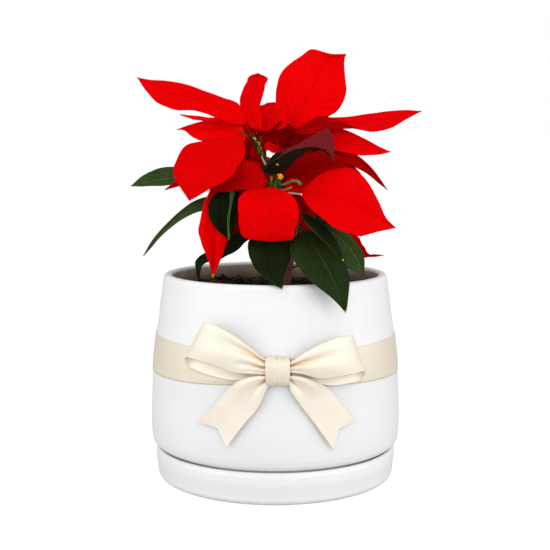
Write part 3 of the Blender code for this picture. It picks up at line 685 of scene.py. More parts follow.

# Blades with another bend or outline than their CAD solids: rows of (left, middle, right) in mm, from the
# stalk's foot to the tip. These rows, CROWN's and the bow's, and some places in STRANDS, were printed by a
# program and pasted in. They aren't worked out from driving dimensions.
RESHAPED = {
    "leaf_low_left": [
        [(-8.5, -5, 169.5)] * 3, [(-16.5, -10, 164), (-15.5, -11.5, 159.5), (-14.5, -15, 155)],
        [(-22.5, -12, 161), (-20.5, -13.5, 157), (-18.5, -17, 153)],
        [(-30, -14, 156), (-27, -15.5, 152), (-24, -19, 147.5)],
        [(-37, -16, 151), (-34, -17.5, 147.5), (-31, -21, 144)],
        [(-43, -17, 146.5), (-40.5, -18.5, 143.5), (-37.5, -22, 140.5)],
        [(-48, -18, 143.5), (-45, -19, 142), (-42, -22, 140.5)],
        [(-50.5, -19, 140), (-48, -19.5, 139), (-45.5, -22, 138.5)],
        [(-50, -20, 136), (-48.5, -20, 135.5), (-47, -22, 135.5)],
        [(-49.5, -21, 132), (-48.5, -20.5, 132), (-47.5, -22, 132)], [(-48, -21.5, 129)] * 3],
    "leaf_centre": [
        [(-6, -5, 200)] * 3, [(-8.5, -15, 198.5), (-8.5, -16, 197.5), (-7.5, -19, 195.5)],
        [(-6, -17, 201), (-5.5, -18.5, 199.5), (-3.5, -23, 195)],
        [(-3, -19, 205), (-2, -21, 203), (1.5, -28, 196.5)],
        [(0, -21, 208), (1.5, -24, 205.5), (6, -32, 198.5)],
        [(3.5, -23, 209.5), (5, -26, 207.5), (10, -36, 202)],
        [(8, -26, 211.5), (9.5, -30, 210), (13, -38, 205)],
        [(13.5, -28, 213.5), (15.5, -34, 211.5), (17.5, -39, 208)],
        [(20, -31, 217), (22, -38, 212), (22, -40, 210.5)],
        [(27, -35, 221), (27, -41, 211), (27, -42, 210.5)],
        [(32.5, -38, 222.5), (31, -44, 209), (30.5, -45, 208.5)],
        [(35.5, -43, 213.5), (33.5, -46, 205.5), (33.5, -46, 205)], [(34.5, -47.5, 202.5)] * 3],
    "bract_small": [
        [(8, -2, 208.5)] * 3, [(3.5, -6, 210.5), (2.5, -5.5, 209.5), (1.5, -7, 208.5)],
        [(0, -8, 213), (-1, -8, 210.5), (-2, -10, 208.5)],
        [(-2.5, -9, 214.5), (-3.5, -9, 212.5), (-4.5, -11, 210)],
        [(-5, -10, 215), (-5.5, -10, 212.5), (-6, -11.5, 210)],
        [(-6.5, -10.5, 214.5), (-6.5, -10, 212.5), (-6.5, -11.5, 211)], [(-7, -11, 212.5)] * 3],
    "bract_low_right": [
        [(39, 5, 161)] * 3, [(48.5, 4, 158), (46, 5, 155.5), (43.5, 4, 153.5)],
        [(54.5, 3, 153.5), (51, 3.5, 150.5), (47, 2, 147.5)],
        [(56, 1, 150), (53, 1.5, 146.5), (50, 0, 143.5)],
        [(58, 0, 147.5), (55.5, 0, 144.5), (52.5, -2, 141)],
        [(59, -1, 145), (57.5, -1, 143), (55.5, -3, 140.5)],
        [(60.5, -2, 143.5), (59.5, -1.5, 142.5), (58.5, -3, 141.5)],
        [(64.5, -3, 143.5), (64, -2.5, 142.5), (64, -4, 142)], [(70, -4, 143)] * 3],
    "bract_top_right": [
        [(5, 11, 218)] * 3,
        [(2.5, 14.5, 227), (8.5, 15.5, 225.5), (15, 14.5, 223.5)],
        [(0.5, 17, 238), (14, 18, 233), (28, 17, 228.5)],
        [(1, 19, 249), (19, 20, 241), (37, 19, 233)],
        [(3.5, 20, 259), (24, 21, 250), (44, 20, 240.5)],
        [(9.5, 21, 266), (28, 22, 257), (46.5, 21, 248)],
        [(17, 21.5, 271.5), (31.5, 22.5, 263.5), (46, 21.5, 256)],
        [(24, 21, 275.5), (34.5, 22, 269.5), (45, 21, 264)],
        [(35.5, 19.5, 272.5), (40.5, 20.5, 270.5), (45, 19.5, 268.5)],
        [(46, 18, 272)] * 3,
    ],
    "bract_upright": [
        [(-11.5, -1, 219.5)] * 3, [(-16, -1, 224), (-12.5, 0, 223.5), (-8.5, -1, 223)],
        [(-20.5, 0.5, 231), (-14.5, 1.5, 231), (-8.5, 0.5, 230.5)],
        [(-22.5, 2.5, 238.5), (-16.5, 3.5, 238), (-10, 2.5, 237)],
        [(-22, 4.5, 246), (-15, 5.5, 245.5), (-8, 4.5, 245)],
        [(-18.5, 6, 253), (-12.5, 7, 252), (-6.5, 6, 251.5)],
        [(-14.5, 6, 258), (-11, 7, 258), (-7, 6, 257.5)], [(-11, 6, 259)] * 3],
    "bract_front": [
        [(0, -30, 187.5)] * 3, [(-10, -36, 187), (-4, -36.5, 187.5), (1, -36, 187)],
        [(-17.5, -43.5, 186), (-5, -44, 185.5), (7, -43.5, 185)],
        [(-21.5, -50, 182), (-4, -50.5, 181.5), (12, -50, 180.5)],
        [(-22.5, -54.5, 176.5), (-3.5, -55, 176), (13.5, -54.5, 175.5)],
        [(-22, -57, 169.5), (-3.5, -57.5, 169.5), (14, -57, 169)],
        [(-20.5, -58, 163.5), (-3.5, -58.5, 163.5), (12, -58, 163)],
        [(-19, -58, 159.5), (-3.5, -58.5, 159.5), (11, -58, 159)],
        [(-14.5, -57.5, 157.5), (-3.5, -58, 157.5), (7, -57.5, 157)], [(-4, -57.5, 156.5)] * 3],
    "bract_hanging": [
        [(-30.5, -22, 188)] * 3, [(-41, -25, 184.5), (-36, -24, 184.5), (-30.5, -25, 184.5)],
        [(-44.5, -28, 177), (-36, -27, 177), (-27.5, -28, 177)],
        [(-46, -30, 169), (-35.5, -29, 169.5), (-25.5, -30, 170)],
        [(-47.5, -30.5, 160.5), (-37, -29.5, 161), (-26.5, -30.5, 162)],
        [(-45.5, -30, 152), (-37.5, -29, 152.5), (-30, -30, 153)],
        [(-42, -29, 143), (-38, -28, 143.5), (-33.5, -29, 143.5)],
        [(-40, -28, 136.5), (-38.5, -27, 136.5), (-36.5, -28, 136.5)], [(-39, -27.5, 131)] * 3],
    "leaf_front_left": [
        [(-22, -28, 190)] * 3, [(-33.5, -31, 186), (-30, -30, 187), (-26.5, -31, 188.5)],
        [(-38.5, -33, 182), (-32, -32, 183), (-25.5, -33, 183.5)],
        [(-41, -34, 177), (-32.5, -33, 177.5), (-24, -34, 178)],
        [(-41, -34.5, 171.5), (-32.5, -33.5, 172), (-24, -34.5, 172.5)],
        [(-38.5, -34, 165), (-31.5, -33, 165.5), (-24.5, -34, 166.5)],
        [(-34.5, -33, 160), (-30.5, -32, 160.5), (-26, -33, 160.5)], [(-28.5, -32, 155.5)] * 3],
}


def in_metres(rows):
    return [[Vector(point) * MM for point in row] for row in rows]


for name, slot in sorted(RECORD_SLOT.items()):
    if name.startswith(("bract", "leaf")):
        rows = in_metres(RESHAPED[name]) if name in RESHAPED else rows_of(name)
        blade(name, rows, BLADE_FINISH.get(name, slot), name, **BLADE_FORM.get(name, {}))

# Bracts and leaves that close the gaps in the crown: finish, then rows as above
CROWN = {
    "bract_behind_right": ("bract_half_shade_red", [
        [(-7, -1, 214)] * 3, [(-3.5, 8, 221.5), (-2.5, 8, 216.5), (-1.5, 8, 211)],
        [(9.5, 16, 227.5), (10, 16, 218), (10.5, 16, 208)],
        [(23.5, 17, 229), (23, 17, 219), (22.5, 17, 209.5)],
        [(33.5, 15, 229.5), (33, 15, 222.5), (32.5, 15, 215.5)], [(40.5, 12, 225.5)] * 3]),
    "bract_behind_left": ("bract_deep_red", [
        [(-11, 4, 234)] * 3, [(-5, 7, 230), (-13, 6, 230), (-21.5, 7, 230)],
        [(-3, 7, 224), (-12, 6, 224), (-22.5, 7, 224)],
        [(-4, 6, 217), (-13, 5, 217), (-24, 6, 217)],
        [(-6, 8, 207), (-14.5, 7, 207), (-26, 8, 207)], [(-4.5, 8, 196), (-15, 7, 196), (-26, 8, 196)],
        [(-6, 7, 187), (-14.5, 6, 187), (-23, 7, 187)], [(-16.5, 6, 177.5)] * 3]),
    "bract_behind_low": ("bract_half_shade_red", [
        [(1.5, 6, 198.5)] * 3, [(7, 9, 205.5), (7, 8, 198), (7, 9, 190)],
        [(17.5, 11, 211), (17.5, 10, 197), (17.5, 11, 183.5)],
        [(29, 11, 212), (29, 10, 196), (29, 11, 180.5)],
        [(39.5, 9, 209), (39.5, 8, 196.5), (39.5, 9, 184.5)], [(48.5, 6, 196.5)] * 3]),
    "bract_behind_head": ("bract_deep_red", [
        [(6.5, 8, 209)] * 3, [(11.5, 9, 203), (6, 8, 203.5), (0.5, 9, 203.5)],
        [(12, 9, 196), (2, 8, 196), (-8.5, 9, 196)], [(11, 8, 187), (-1, 7, 187.5), (-12.5, 8, 188)],
        [(11, 7, 178), (0, 6, 178), (-8.5, 7, 180)], [(2, 6, 166)] * 3]),
    "bract_behind_stem": ("bract_shaded_red", [
        [(10, 5, 178)] * 3, [(15, 7, 172), (12, 6, 172), (9, 7, 172)],
        [(24, 10, 164), (17, 9, 164), (10, 10, 164)],
        [(25, 11, 155), (18, 10, 155), (12, 11, 155)], [(19, 11, 146)] * 3]),
    "leaf_sliver": ("leaf_pale", [
        [(-27, -33, 189.5)] * 3, [(-27.5, -36.5, 187), (-26.5, -35.5, 187.5), (-25.5, -36.5, 187.5)],
        [(-27.5, -37, 184), (-26, -36, 184), (-25, -37, 184)],
        [(-27.5, -37, 180.5), (-26.5, -36, 180.5), (-26, -37, 180.5)],
        [(-28, -37, 175.5), (-27.5, -36, 175.5), (-27, -37, 175)],
        [(-29, -37, 169.5), (-28.5, -36, 169.5), (-28, -37, 169.5)],
        [(-29, -37, 163.5), (-29, -36, 163.5), (-28.5, -37, 163.5)],
        [(-29, -36, 159), (-28.5, -35, 159), (-28, -36, 159)], [(-28.5, -34, 155)] * 3]),
    "leaf_half_front": ("leaf_olive", [
        [(-26, -27, 189)] * 3, [(-27, -31, 186.5), (-25, -30, 186.5), (-23.5, -31, 186.5)],
        [(-27, -31.5, 182), (-24.5, -30.5, 182.5), (-22, -31.5, 183)],
        [(-27.5, -31.5, 176.5), (-25, -30.5, 177), (-22.5, -31.5, 177.5)],
        [(-28, -31.5, 170.5), (-26, -30.5, 171), (-24, -31.5, 171)],
        [(-28.5, -31.5, 164.5), (-27, -30.5, 164.5), (-25.5, -31.5, 165)],
        [(-28.5, -31.5, 159.5), (-28, -30.5, 159.5), (-27, -31.5, 159.5)], [(-28.5, -31.5, 155.5)] * 3]),
    "bract_behind_leaf": ("bract_shaded_red", [
        [(-20, -18, 189.5)] * 3, [(-24.5, -22, 186), (-20.5, -20, 186.5), (-16.5, -20, 186.5)],
        [(-27, -24, 179.5), (-22, -22.5, 179.5), (-17, -23, 180)],
        [(-28, -25.5, 172.5), (-23, -24.5, 173), (-17.5, -25.5, 174)],
        [(-29, -25.5, 167.5), (-23, -24.5, 168), (-17.5, -25.5, 168.5)],
        [(-29, -25.5, 163.5), (-23.5, -24.5, 163.5), (-18.5, -25.5, 163.5)],
        [(-28, -25, 160), (-25, -24, 160), (-21.5, -25, 160)], [(-26, -24, 158)] * 3]),
}

for name, (material, rows) in CROWN.items():
    blade(name, in_metres(rows), material)


# ---------------------------------------------------------------- stems and flower buds

# The stem's axes, in mm: radius at the foot, radius at the top, points
STEM_AXES = {
    "main": (2.7, 2.3, [(7.5, 0, 106), (7.5, 0, 115), (7.6, 0, 124), (10, -1, 142), (12, -4, 155)]),
    "upper": (2.1, 1.3, [(11, -3, 150), (9, -5, 170), (1, -4, 190), (-7, -4, 204), (-13, -4.5, 217)]),
    "front": (1.9, 1.5, [(11, -3, 150), (11, -11, 165), (5, -21, 177), (0, -27, 185)]),
    "back": (1.9, 1.4, [(11, -3, 150), (14, 4, 170), (11, 10, 190), (6, 14, 212)]),
}
STEM_STEPS = 70
STEM_JOINTS = 4  # swellings along each stem


def stems():
    """The main stem and its branches, with swollen joints and rough bark."""
    shapes = []
    for foot, top, points in STEM_AXES.values():
        path = [point * MM for point in smooth(points, STEM_STEPS)]
        radii = []
        for i, point in enumerate(path):
            along = i / (STEM_STEPS - 1)
            joint = max(0, math.cos(along * 2 * math.pi * STEM_JOINTS)) ** 12
            bark = noise.noise(point * 260) * 0.12
            rounded_end = min(1, (1 - along) * 14 + 0.25) ** 0.5
            radii.append((foot + (top - foot) * along) * (1 + 0.10 * joint + bark) * rounded_end * MM)
        shapes.append(tube(path, radii, 16))
    piece("stem_wood", to_mesh(together(shapes), "stem_wood"), "stem_green", "stem_green", "stem")


# (place along a bud, its radius there as a part of the widest)
BUD_BULGE = [(0.0, 0.30), (0.10, 0.62), (0.28, 0.92), (0.48, 1.0), (0.68, 0.90), (0.85, 0.68), (0.96, 0.42),
             (1.0, 0.12)]


def urn(foot, tip, width):
    """A plump closed bud from foot to tip, all in mm."""
    foot, tip = Vector(foot), Vector(tip)
    points = [foot.lerp(tip, along) * MM for along, _ in BUD_BULGE]
    return tube(points, [width * part * MM for _, part in BUD_BULGE], 10)


STRAND_STEPS = 14


def strand(points, start, end, sides=8):
    """A thin stalk through points, with its radius at each end, all in mm."""
    path = [point * MM for point in smooth(points, STRAND_STEPS)]
    last = STRAND_STEPS - 1
    return tube(path, [(start + (end - start) * i / last) * MM for i in range(STRAND_STEPS)], sides)


# The flower heads: (foot, tip, radius) of each bud in mm, then its finish, and its tuft's or None
HEADS = {
    "buds_upper": [
        ((-9.6, -8.4, 207.5), (-8.9, -10.2, 212.4), 1.12, "bud_green", None),
        ((-10.8, -8.0, 209.8), (-10.2, -10.0, 214.4), 1.04, "bud_green", "bud_yellow"),
        ((-12.0, -8.0, 213.0), (-13.0, -10.4, 217.6), 0.97, "bud_green", "bud_yellow"),
        ((-13.2, -8.0, 216.0), (-14.6, -9.6, 220.6), 0.97, "bud_dark", None),
        ((-10.4, -7.4, 213.6), (-8.6, -9.0, 219.0), 0.76, "bud_dark", None),
        ((-12.0, -7.6, 210.6), (-14.4, -8.6, 214.4), 0.86, "bud_dark", None),
        ((-9.0, -7.0, 205.6), (-10.6, -8.6, 209.6), 0.83, "bud_dark", "bud_red"),
    ],
    "buds_front": [
        ((1.6, -29.6, 188.4), (3.1, -31.0, 192.4), 1.04, "bud_green", None),
        ((-0.1, -29.0, 186.2), (0.5, -31.8, 192.6), 1.15, "bud_green", None),
        ((-2.2, -28.6, 187.6), (-2.6, -30.2, 193.6), 1.08, "bud_green", "bud_red"),
        ((-3.0, -28.0, 186.0), (-4.4, -29.6, 190.4), 1.01, "bud_dark", None),
        ((1.2, -27.6, 187.0), (2.4, -26.2, 193.0), 1.01, "bud_dark", "bud_yellow"),
        ((0.0, -28.6, 184.6), (0.2, -31.6, 188.0), 0.94, "bud_green", None),
    ],
    "buds_back": [
        ((4.2, 14.4, 208.0), (2.6, 12.4, 213.4), 1.08, "bud_green", "bud_yellow"),
        ((3.4, 14.8, 209.6), (4.8, 16.6, 214.4), 1.08, "bud_green", "bud_red"),
        ((2.8, 14.6, 211.0), (0.6, 15.0, 216.2), 1.04, "bud_green", "bud_yellow"),
        ((4.8, 14.0, 206.0), (2.2, 15.8, 209.0), 0.94, "bud_dark", None),
    ],
}


# (foot, tip) of the stalk under each head
HEAD_STALK = {
    "buds_upper": ((-8.0, -7.6, 207), (-13.2, -9.2, 218)),
    "buds_front": ((-0.2, -27.6, 186.6), (0.6, -29.4, 191.5)),
    "buds_back": ((5.2, 14.4, 206), (2.6, 14.6, 211.5)),
}
TUFT_BEADS = 6
OPEN_FLOWER = Vector((3.1, -31.2, 193.9))  # middle of its ball of stamens
STAMENS = 8
STAMEN_BEADS = 5
LONE_BUD = (1.0, -31.0, 201.5)


def flower_heads():
    """The buds with their tufts and glands, the open flower, and the bud that lies on the centre leaf."""
    draw = random.Random(11)
    for node, buds in HEADS.items():
        foot, tip = (Vector(p) for p in HEAD_STALK[node])
        shapes = {"bud_green": [strand([foot, foot.lerp(tip, 0.5), tip], 1.0, 0.7)]}
        for start, end, width, body, tuft in buds:
            shapes.setdefault(body, []).append(urn(start, end, width))
            start, end = Vector(start), Vector(end)
            ahead = (end - start).normalized()
            shapes.setdefault("bud_dark", []).append(
                strand([start - ahead * 1.2, start, start + ahead * 0.5], 0.5, width * 0.55, 6))
            if tuft:
                for _ in range(TUFT_BEADS):
                    lean = Vector([draw.uniform(-1, 1) for _ in range(3)])
                    bead = end + ahead * 0.25 + (lean - ahead * lean.dot(ahead)) * 0.75
                    shapes.setdefault(tuft, []).append(blob(bead * MM, (0.5, 0.5, 0.5), 0.2))
                gland = end - ahead * 0.9 + Vector((0.3, -1, 0)) * width * 0.75
                shapes.setdefault("bud_yellow", []).append(blob(gland * MM, (0.7, 0.45, 0.5), 0.2))
        for count, (material, made) in enumerate(shapes.items()):
            name = f"{node}_{material}"
            piece(name, to_mesh(together(made), name), material, "bud_green", node if count == 0 else None)
    beads = [blob(OPEN_FLOWER * MM, (1.5, 1.5, 1.5), 0.1, 2)]
    for k in range(STAMENS):
        turn = k * 0.785
        place = Vector((math.cos(turn) * 1.2, -0.9, 0.2 + math.sin(turn) * 1.2))
        for _ in range(STAMEN_BEADS):
            loose = Vector([draw.gauss(0, 0.32) for _ in range(3)])
            beads.append(blob((OPEN_FLOWER + place + loose) * MM, (0.45, 0.45, 0.45), 0.3))
    piece("buds_front_open_flower", to_mesh(together(beads), "open_flower"), "bud_yellow", "bud_green")
    x, y, z = LONE_BUD
    lone = [blob(Vector((x + 0.5 * k, y, z - 0.3 * k)) * MM, (0.6, 0.6, 0.6), 0.3) for k in range(2)]
    piece("bud_on_leaf", to_mesh(together(lone), "bud_on_leaf"), "bud_yellow", "bud_green")


# Thin stalks, a side shoot and a fallen twig: finish, radius at the start and at the end, points in mm
STRANDS = {
    "hooked_stalk": ("leaf_fresh_stalk", 0.55, 1.05, [
        (1.6, -28.6, 188.6), (7.8, -31, 190.1), (10.8, -33, 191.5), (13.5, -34, 191.2), (15.7, -35, 189.0)]),
    "short_stalk": ("leaf_fresh_stalk", 0.45, 0.6, [
        (1.4, -28, 186), (7.4, -33, 186.4), (10.2, -34, 187.8)]),
    "bract_scar_stalk": ("bud_dark", 0.6, 0.6, [
        (-13.4, -5, 217.5), (-18.9, -9, 219.6), (-22.9, -9.6, 222.9)]),
    "petiole_dark": ("stalk_dark", 0.8, 0.6, [
        (-0.6, -26.8, 190), (-3.9, -25, 194.6), (-7.9, -23, 196.4), (-14.5, -22, 199.1),
        (-20.7, -22, 202.0)]),
    "petiole_pale": ("stalk_pale", 0.55, 0.65, [
        (1.6, -28.8, 184.2), (6.5, -36, 184.3), (15.6, -38, 183.5)]),
    "stalk_pale_upper": ("stalk_pale_green", 0.45, 0.7, [
        (-8.8, -7, 207.0), (-8.2, -8.4, 205), (-6.2, -10, 200.2), (-6.8, -11, 198.6)]),
    "fallen_twig": ("stalk_dark", 0.75, 0.45, [
        (7.6, -1.5, 128), (8.4, 2, 132.6), (13, 3, 134.8), (18.5, 5, 137.4)]),
    "side_shoot": ("stem_green", 1.1, 0.6, [
        (10.4, -3, 149), (12.6, -9, 158), (15.4, -14, 168)]),
}


def strands():
    for name, (finish, start, end, points) in STRANDS.items():
        piece(name, to_mesh(strand(points, start, end), name), finish, "stem_green")


stems()
flower_heads()
strands()


# ---------------------------------------------------------------- pot, saucer and soil

# Sizes in mm
SPIN_STEPS = 192  # round the pot and the saucer
POT_RIM = 131.5
POT_FOOT = 5.3
POT_FLOOR = 11.5
DRAIN_RADIUS = 7.0
# (outer radius, height) down the pot's wall, and (inner radius, height) up its inside
POT_WALL = [(72.3, 128.0), (73.0, 122.0), (74.0, 115.5), (75.4, 104.0), (77.6, 90.0), (79.0, 78.0),
            (79.9, 60.0), (80.6, 34.0), (80.2, 27.5)]
POT_INSIDE = [(60.0, POT_FLOOR), (69.0, 14.0), (73.2, 22.0), (74.8, 36.0), (73.6, 78.0), (69.8, 104.0),
              (67.4, 120.0), (66.5, 128.0)]
SOIL_LEVEL = 121.0
SOIL_RADIUS = 66.2
CLODS = 230
CLOD_SIZES = (0.8, 1.1, 1.4, 1.9, 2.6)
CHIPS = 46
# Clumps of moss on the soil: x, y and size
MOSS = [(-26, 34, 4.6), (-21, 36, 4.2), (-14, 34, 3.4), (12, 31, 4.0), (17, 30, 3.2), (-40, 18, 3.4),
        (36, 22, 3.6), (-6, -34, 3.6), (28, -26, 3.2)]
MOSS_TUFTS = 14  # in each clump


def arc(x, z, radius, start, end, count):
    """Points of a circle in the profile, with angles in degrees."""
    turns = [math.radians(start + (end - start) * i / (count - 1)) for i in range(count)]
    return [(x + radius * math.cos(a), z + radius * math.sin(a)) for a in turns]


def spun(name, profile, material, node, relief=None):
    """A piece turned from (radius, height) points in mm. relief(x, y, height) may move a point's height."""
    def place(u, v):
        radius, height = profile[round(v * (len(profile) - 1))]
        x, y = radius * math.sin(math.pi * u), -radius * math.cos(math.pi * u)
        return Vector((x, y, height + (relief(x, y, height) if relief else 0))) * MM

    shape = closed(sheet_grid(SPIN_STEPS, len(profile) - 1, place))
    piece(name, to_mesh(shape, name), material, RECORD_SLOT[node], node)


def eased(points, count):
    """count points of a profile, on the smooth curve through these."""
    return [tuple(point) for point in smooth(points, count)]


def pot_and_saucer():
    lip = arc(68.7, POT_RIM - 2.2, 2.2, 170, 90, 8) + arc(69.6, POT_RIM - 2.6, 2.6, 80, 10, 9)
    heel = eased([POT_WALL[-1], (79.0, 23.8), (76.8, 21.9), (73.4, 21.4)], 14)[1:]
    foot = [(71.2, 20.6), (70.8, 19.8), (70.0, 8.4), (69.3, 6.0), (67.6, POT_FOOT), (DRAIN_RADIUS, POT_FOOT),
            (DRAIN_RADIUS, POT_FLOOR)]
    outline = lip + eased(POT_WALL, 56) + heel + foot + eased(POT_INSIDE, 40)
    spun("pot_glazed", outline + outline[:1], "white_glaze", "pot")

    floor = [(0, 5.0), (68.6, 5.0)] + eased([(70.0, 5.4), (71.6, 6.8), (73.0, 11.0), (73.8, 17.6)], 10)
    lip = arc(75.8, 18.6, 1.9, 170, 60, 10)
    side = eased([(77.6, 17.6), (77.7, 13.0), (77.0, 8.0), (76.6, 5.0)], 14)
    base = arc(72.6, 4.2, 4.0, 0, -90, 9)
    base = [(x, max(0.0, z - 0.2)) for x, z in base]
    spun("saucer_glazed", floor + lip + side + base + [(0, 0)], "white_glaze", "saucer")


def soil_bed():
    """Crumbly potting mix with clods, chips of bark and clumps of moss."""
    def relief(x, y, height):
        if height < SOIL_LEVEL - 0.5:
            return 0
        here = Vector((x, y, 0)) * 0.11
        inwards = 1 - (math.hypot(x, y) / 67.0) ** 6
        ridges = 1 - abs(noise.noise(here * 2.2)) * 2
        return inwards * (1.6 * noise.noise(here) + 1.1 * ridges + 0.7 * noise.noise(here * 5) - 0.4)

    top = [(SOIL_RADIUS * (i / 60) ** 0.7, SOIL_LEVEL) for i in range(61)]
    side = [(radius - 0.7, z) for radius, z in reversed(POT_INSIDE) if 12 < z < SOIL_LEVEL]
    spun("soil_bed", top + side + [(58.5, 12.0), (0, 12.0)], "soil", "soil", relief)

    draw = random.Random(7)

    def spot(furthest):
        """A place on the soil, drawn evenly from a disc."""
        angle, reach = draw.uniform(0, 2 * math.pi), furthest * math.sqrt(draw.random())
        return reach * math.cos(angle), reach * math.sin(angle)

    clods, chips, moss = [], [], []
    for _ in range(CLODS):
        x, y = spot(61)
        size = draw.choice(CLOD_SIZES)
        centre = Vector((x, y, SOIL_LEVEL + 0.7 + size * 0.25)) * MM
        clods.append(blob(centre, [size * draw.uniform(0.7, 1.2) for _ in range(3)], 0.7))
    for _ in range(CHIPS):
        x, y = spot(60)
        centre = Vector((x, y, SOIL_LEVEL + 1.5)) * MM
        lie = Vector([draw.uniform(-1, 1), draw.uniform(-1, 1), draw.uniform(-0.2, 0.2)])
        size = (draw.uniform(1.5, 3.2), draw.uniform(0.7, 1.3), 0.4)
        chips.append(blob(centre, size, 0.5, 1, lie.to_track_quat("X", "Z")))
    for x, y, size in MOSS:
        for _ in range(MOSS_TUFTS):
            spread = Vector((draw.gauss(0, 0.5), draw.gauss(0, 0.4), draw.uniform(0, 0.55))) * size
            centre = (Vector((x, y, SOIL_LEVEL + 0.6)) + spread) * MM
            moss.append(blob(centre, [size * draw.uniform(0.22, 0.36) for _ in range(3)], 0.9))
    for name, shapes, material in (("soil_clods", clods, "soil"), ("bark_chips", chips, "bark"),
                                   ("moss_clumps", moss, "moss")):
        piece(name, to_mesh(together(shapes), name), material, "soil")


pot_and_saucer()
soil_bed()


# ---------------------------------------------------------------- satin ribbon

RIBBON_THICK = 0.3
BAND_MIDDLE = 82.3
# (angle from the front in degrees, half the band's height there)
BAND_HALF = [(0, 6.4), (20, 9.0), (35, 10.4), (60, 11.6), (90, 12.1), (180, 12.3)]

# Rows along the ribbon in mm: (x, height, stand-off from the pot) at one edge, then at the other
LOOP_LEFT = [((-3.6, 89.8, 4.0), (-3.6, 82.1, 4.0)), ((-6.5, 90.4, 4.4), (-6.3, 81.2, 4.4)),
             ((-10.6, 93.7, 6), (-11.2, 81.7, 6)), ((-15.7, 98, 8.5), (-15.7, 82.2, 8.5)),
             ((-25, 104.7, 11.2), (-25, 83.1, 11.2)), ((-34.3, 109.2, 12), (-34.2, 85.8, 12)),
             ((-39.4, 110.4, 11.2), (-44, 87.9, 11.2)), ((-42.4, 109, 8), (-53.5, 87.6, 8)),
             ((-40.8, 106.7, 4.6), (-52, 82.6, 4.6)), ((-36, 104.6, 3.2), (-44.5, 79.6, 3.2)),
             ((-26.5, 100, 2.4), (-34.8, 77.6, 2.4)), ((-16, 93.5, 2.2), (-24, 76.7, 2.2)),
             ((-6.6, 88, 2.0), (-7.7, 79.3, 2.0))]
LOOP_RIGHT = [((5.6, 88.1, 4.0), (5.6, 83.2, 4.0)), ((8.5, 88.6, 4.4), (8.8, 82.3, 4.4)),
              ((12.5, 91.1, 6), (12.5, 82.2, 6)), ((16.6, 94, 8.5), (17.1, 81.7, 8.5)),
              ((25.8, 99, 11.2), (25.7, 79.4, 11.2)), ((35.1, 102.1, 12), (35.1, 79.7, 12)),
              ((41.8, 102.7, 11.2), (44.1, 80.1, 11.2)), ((46, 101.4, 8), (53.1, 79.3, 8)),
              ((45.4, 98.7, 4.6), (51.2, 74.5, 4.6)), ((39.3, 97.3, 3.2), (43.6, 73.1, 3.2)),
              ((31, 95.1, 2.4), (35.7, 72.7, 2.4)), ((20.2, 91, 2.2), (25, 74.5, 2.2)),
              ((9.7, 87.3, 2.0), (9.7, 80.4, 2.0))]
TAIL_LEFT = [((-4.2, 80.3, 2.4), (-2.8, 75.4, 2.4)), ((-7.1, 80.4, 4.2), (-4.5, 73.7, 3.2)),
             ((-14.1, 79.9, 6.0), (-6, 70.3, 3.2)), ((-20.5, 77.8, 5.6), (-8, 65.1, 3)),
             ((-27.6, 71.4, 4), (-11.5, 59.1, 2.2)), ((-34.8, 62.5, 4), (-15.9, 53.9, 2.2)),
             ((-40.9, 56.2, 3.6), (-21.8, 46.2, 2.4)), ((-47.1, 49.5, 3.2), (-28.7, 36.1, 2.6))]
TAIL_RIGHT = [((5.1, 75.3, 2.4), (5.6, 80.0, 2.4)), ((7.7, 75.1, 3.2), (9.7, 80.4, 4.2)),
              ((8.8, 71.4, 3.2), (16.7, 79.5, 6.0)), ((11.7, 66.8, 3), (23.7, 76.7, 5.6)),
              ((15.8, 60.7, 2.2), (30.8, 71.8, 4)), ((20.2, 54.9, 2.2), (36.8, 64.7, 4)),
              ((26.4, 46.1, 2.4), (42.6, 57.7, 3.6)), ((34.4, 34.3, 2.6), (48.7, 50.0, 3.2))]
TAIL_NOTCH = 6.5  # depth of the swallow-tail cut
LOOP_RETURN = 0.7  # place along a loop from which its back half ripples

# Folds that run out from the knot: place across at the knot and at the far end (-1 is the first edge),
# half width at the knot and at the far end, depth in mm (a ridge is negative), reach along the ribbon
FOLDS = {
    "bow_loop_left": [(-0.62, -0.15, 0.13, 0.50, 2.2, 0.48), (0.15, 0.55, 0.12, 0.24, 2.3, 0.25),
                      (0.85, 0.75, 0.14, 0.2, 0.8, 0.2)],
    "bow_loop_right": [(-0.78, -0.85, 0.10, 0.15, 0.9, 0.13), (-0.22, -0.12, 0.12, 0.48, 2.2, 0.46),
                       (-0.15, 0.16, 0.10, 0.20, 1.5, 0.19), (0.75, 0.7, 0.14, 0.2, 0.7, 0.16)],
    "bow_tail_left": [(-0.10, 0.45, 0.18, 0.38, 2.4, 0.42), (-0.75, -0.30, 0.22, 0.34, -1.4, 0.55)],
    "bow_tail_right": [(0.0, -0.45, 0.20, 0.38, 2.3, 0.40), (0.80, 0.20, 0.24, 0.36, -1.4, 0.55)],
}


def wall_radius(height):
    return between(height, sorted((z, radius) for radius, z in POT_WALL))


def on_wall(x, height, stand_off):
    """The point in front of the pot's wall at this place, in mm."""
    radius = wall_radius(height) + stand_off
    return Vector((x, -math.sqrt(radius**2 - x**2), height))


def fold_depth(folds, u, v):
    """How deep the folds are at a place on the ribbon, in mm."""
    depth = 0
    for near, far, tight, wide, deep, reach in folds:
        t = min(1, v / reach)
        middle, half = near + (far - near) * t, tight + (wide - tight) * t
        depth += deep * (1 - t * t) ** 1.5 * math.exp(-((u - middle) / half) ** 2)
    return depth


# The band and the knot take the darkest copy of the satin, as painted shade; the loops a darker front as
# painted shade and a lighter far half as painted light; the tails the lightest
HELD_FINISH = {"stretched": "satin_band", "gathered": "satin_band", "folded": "satin_loop",
               "draped": "satin_ribbon"}


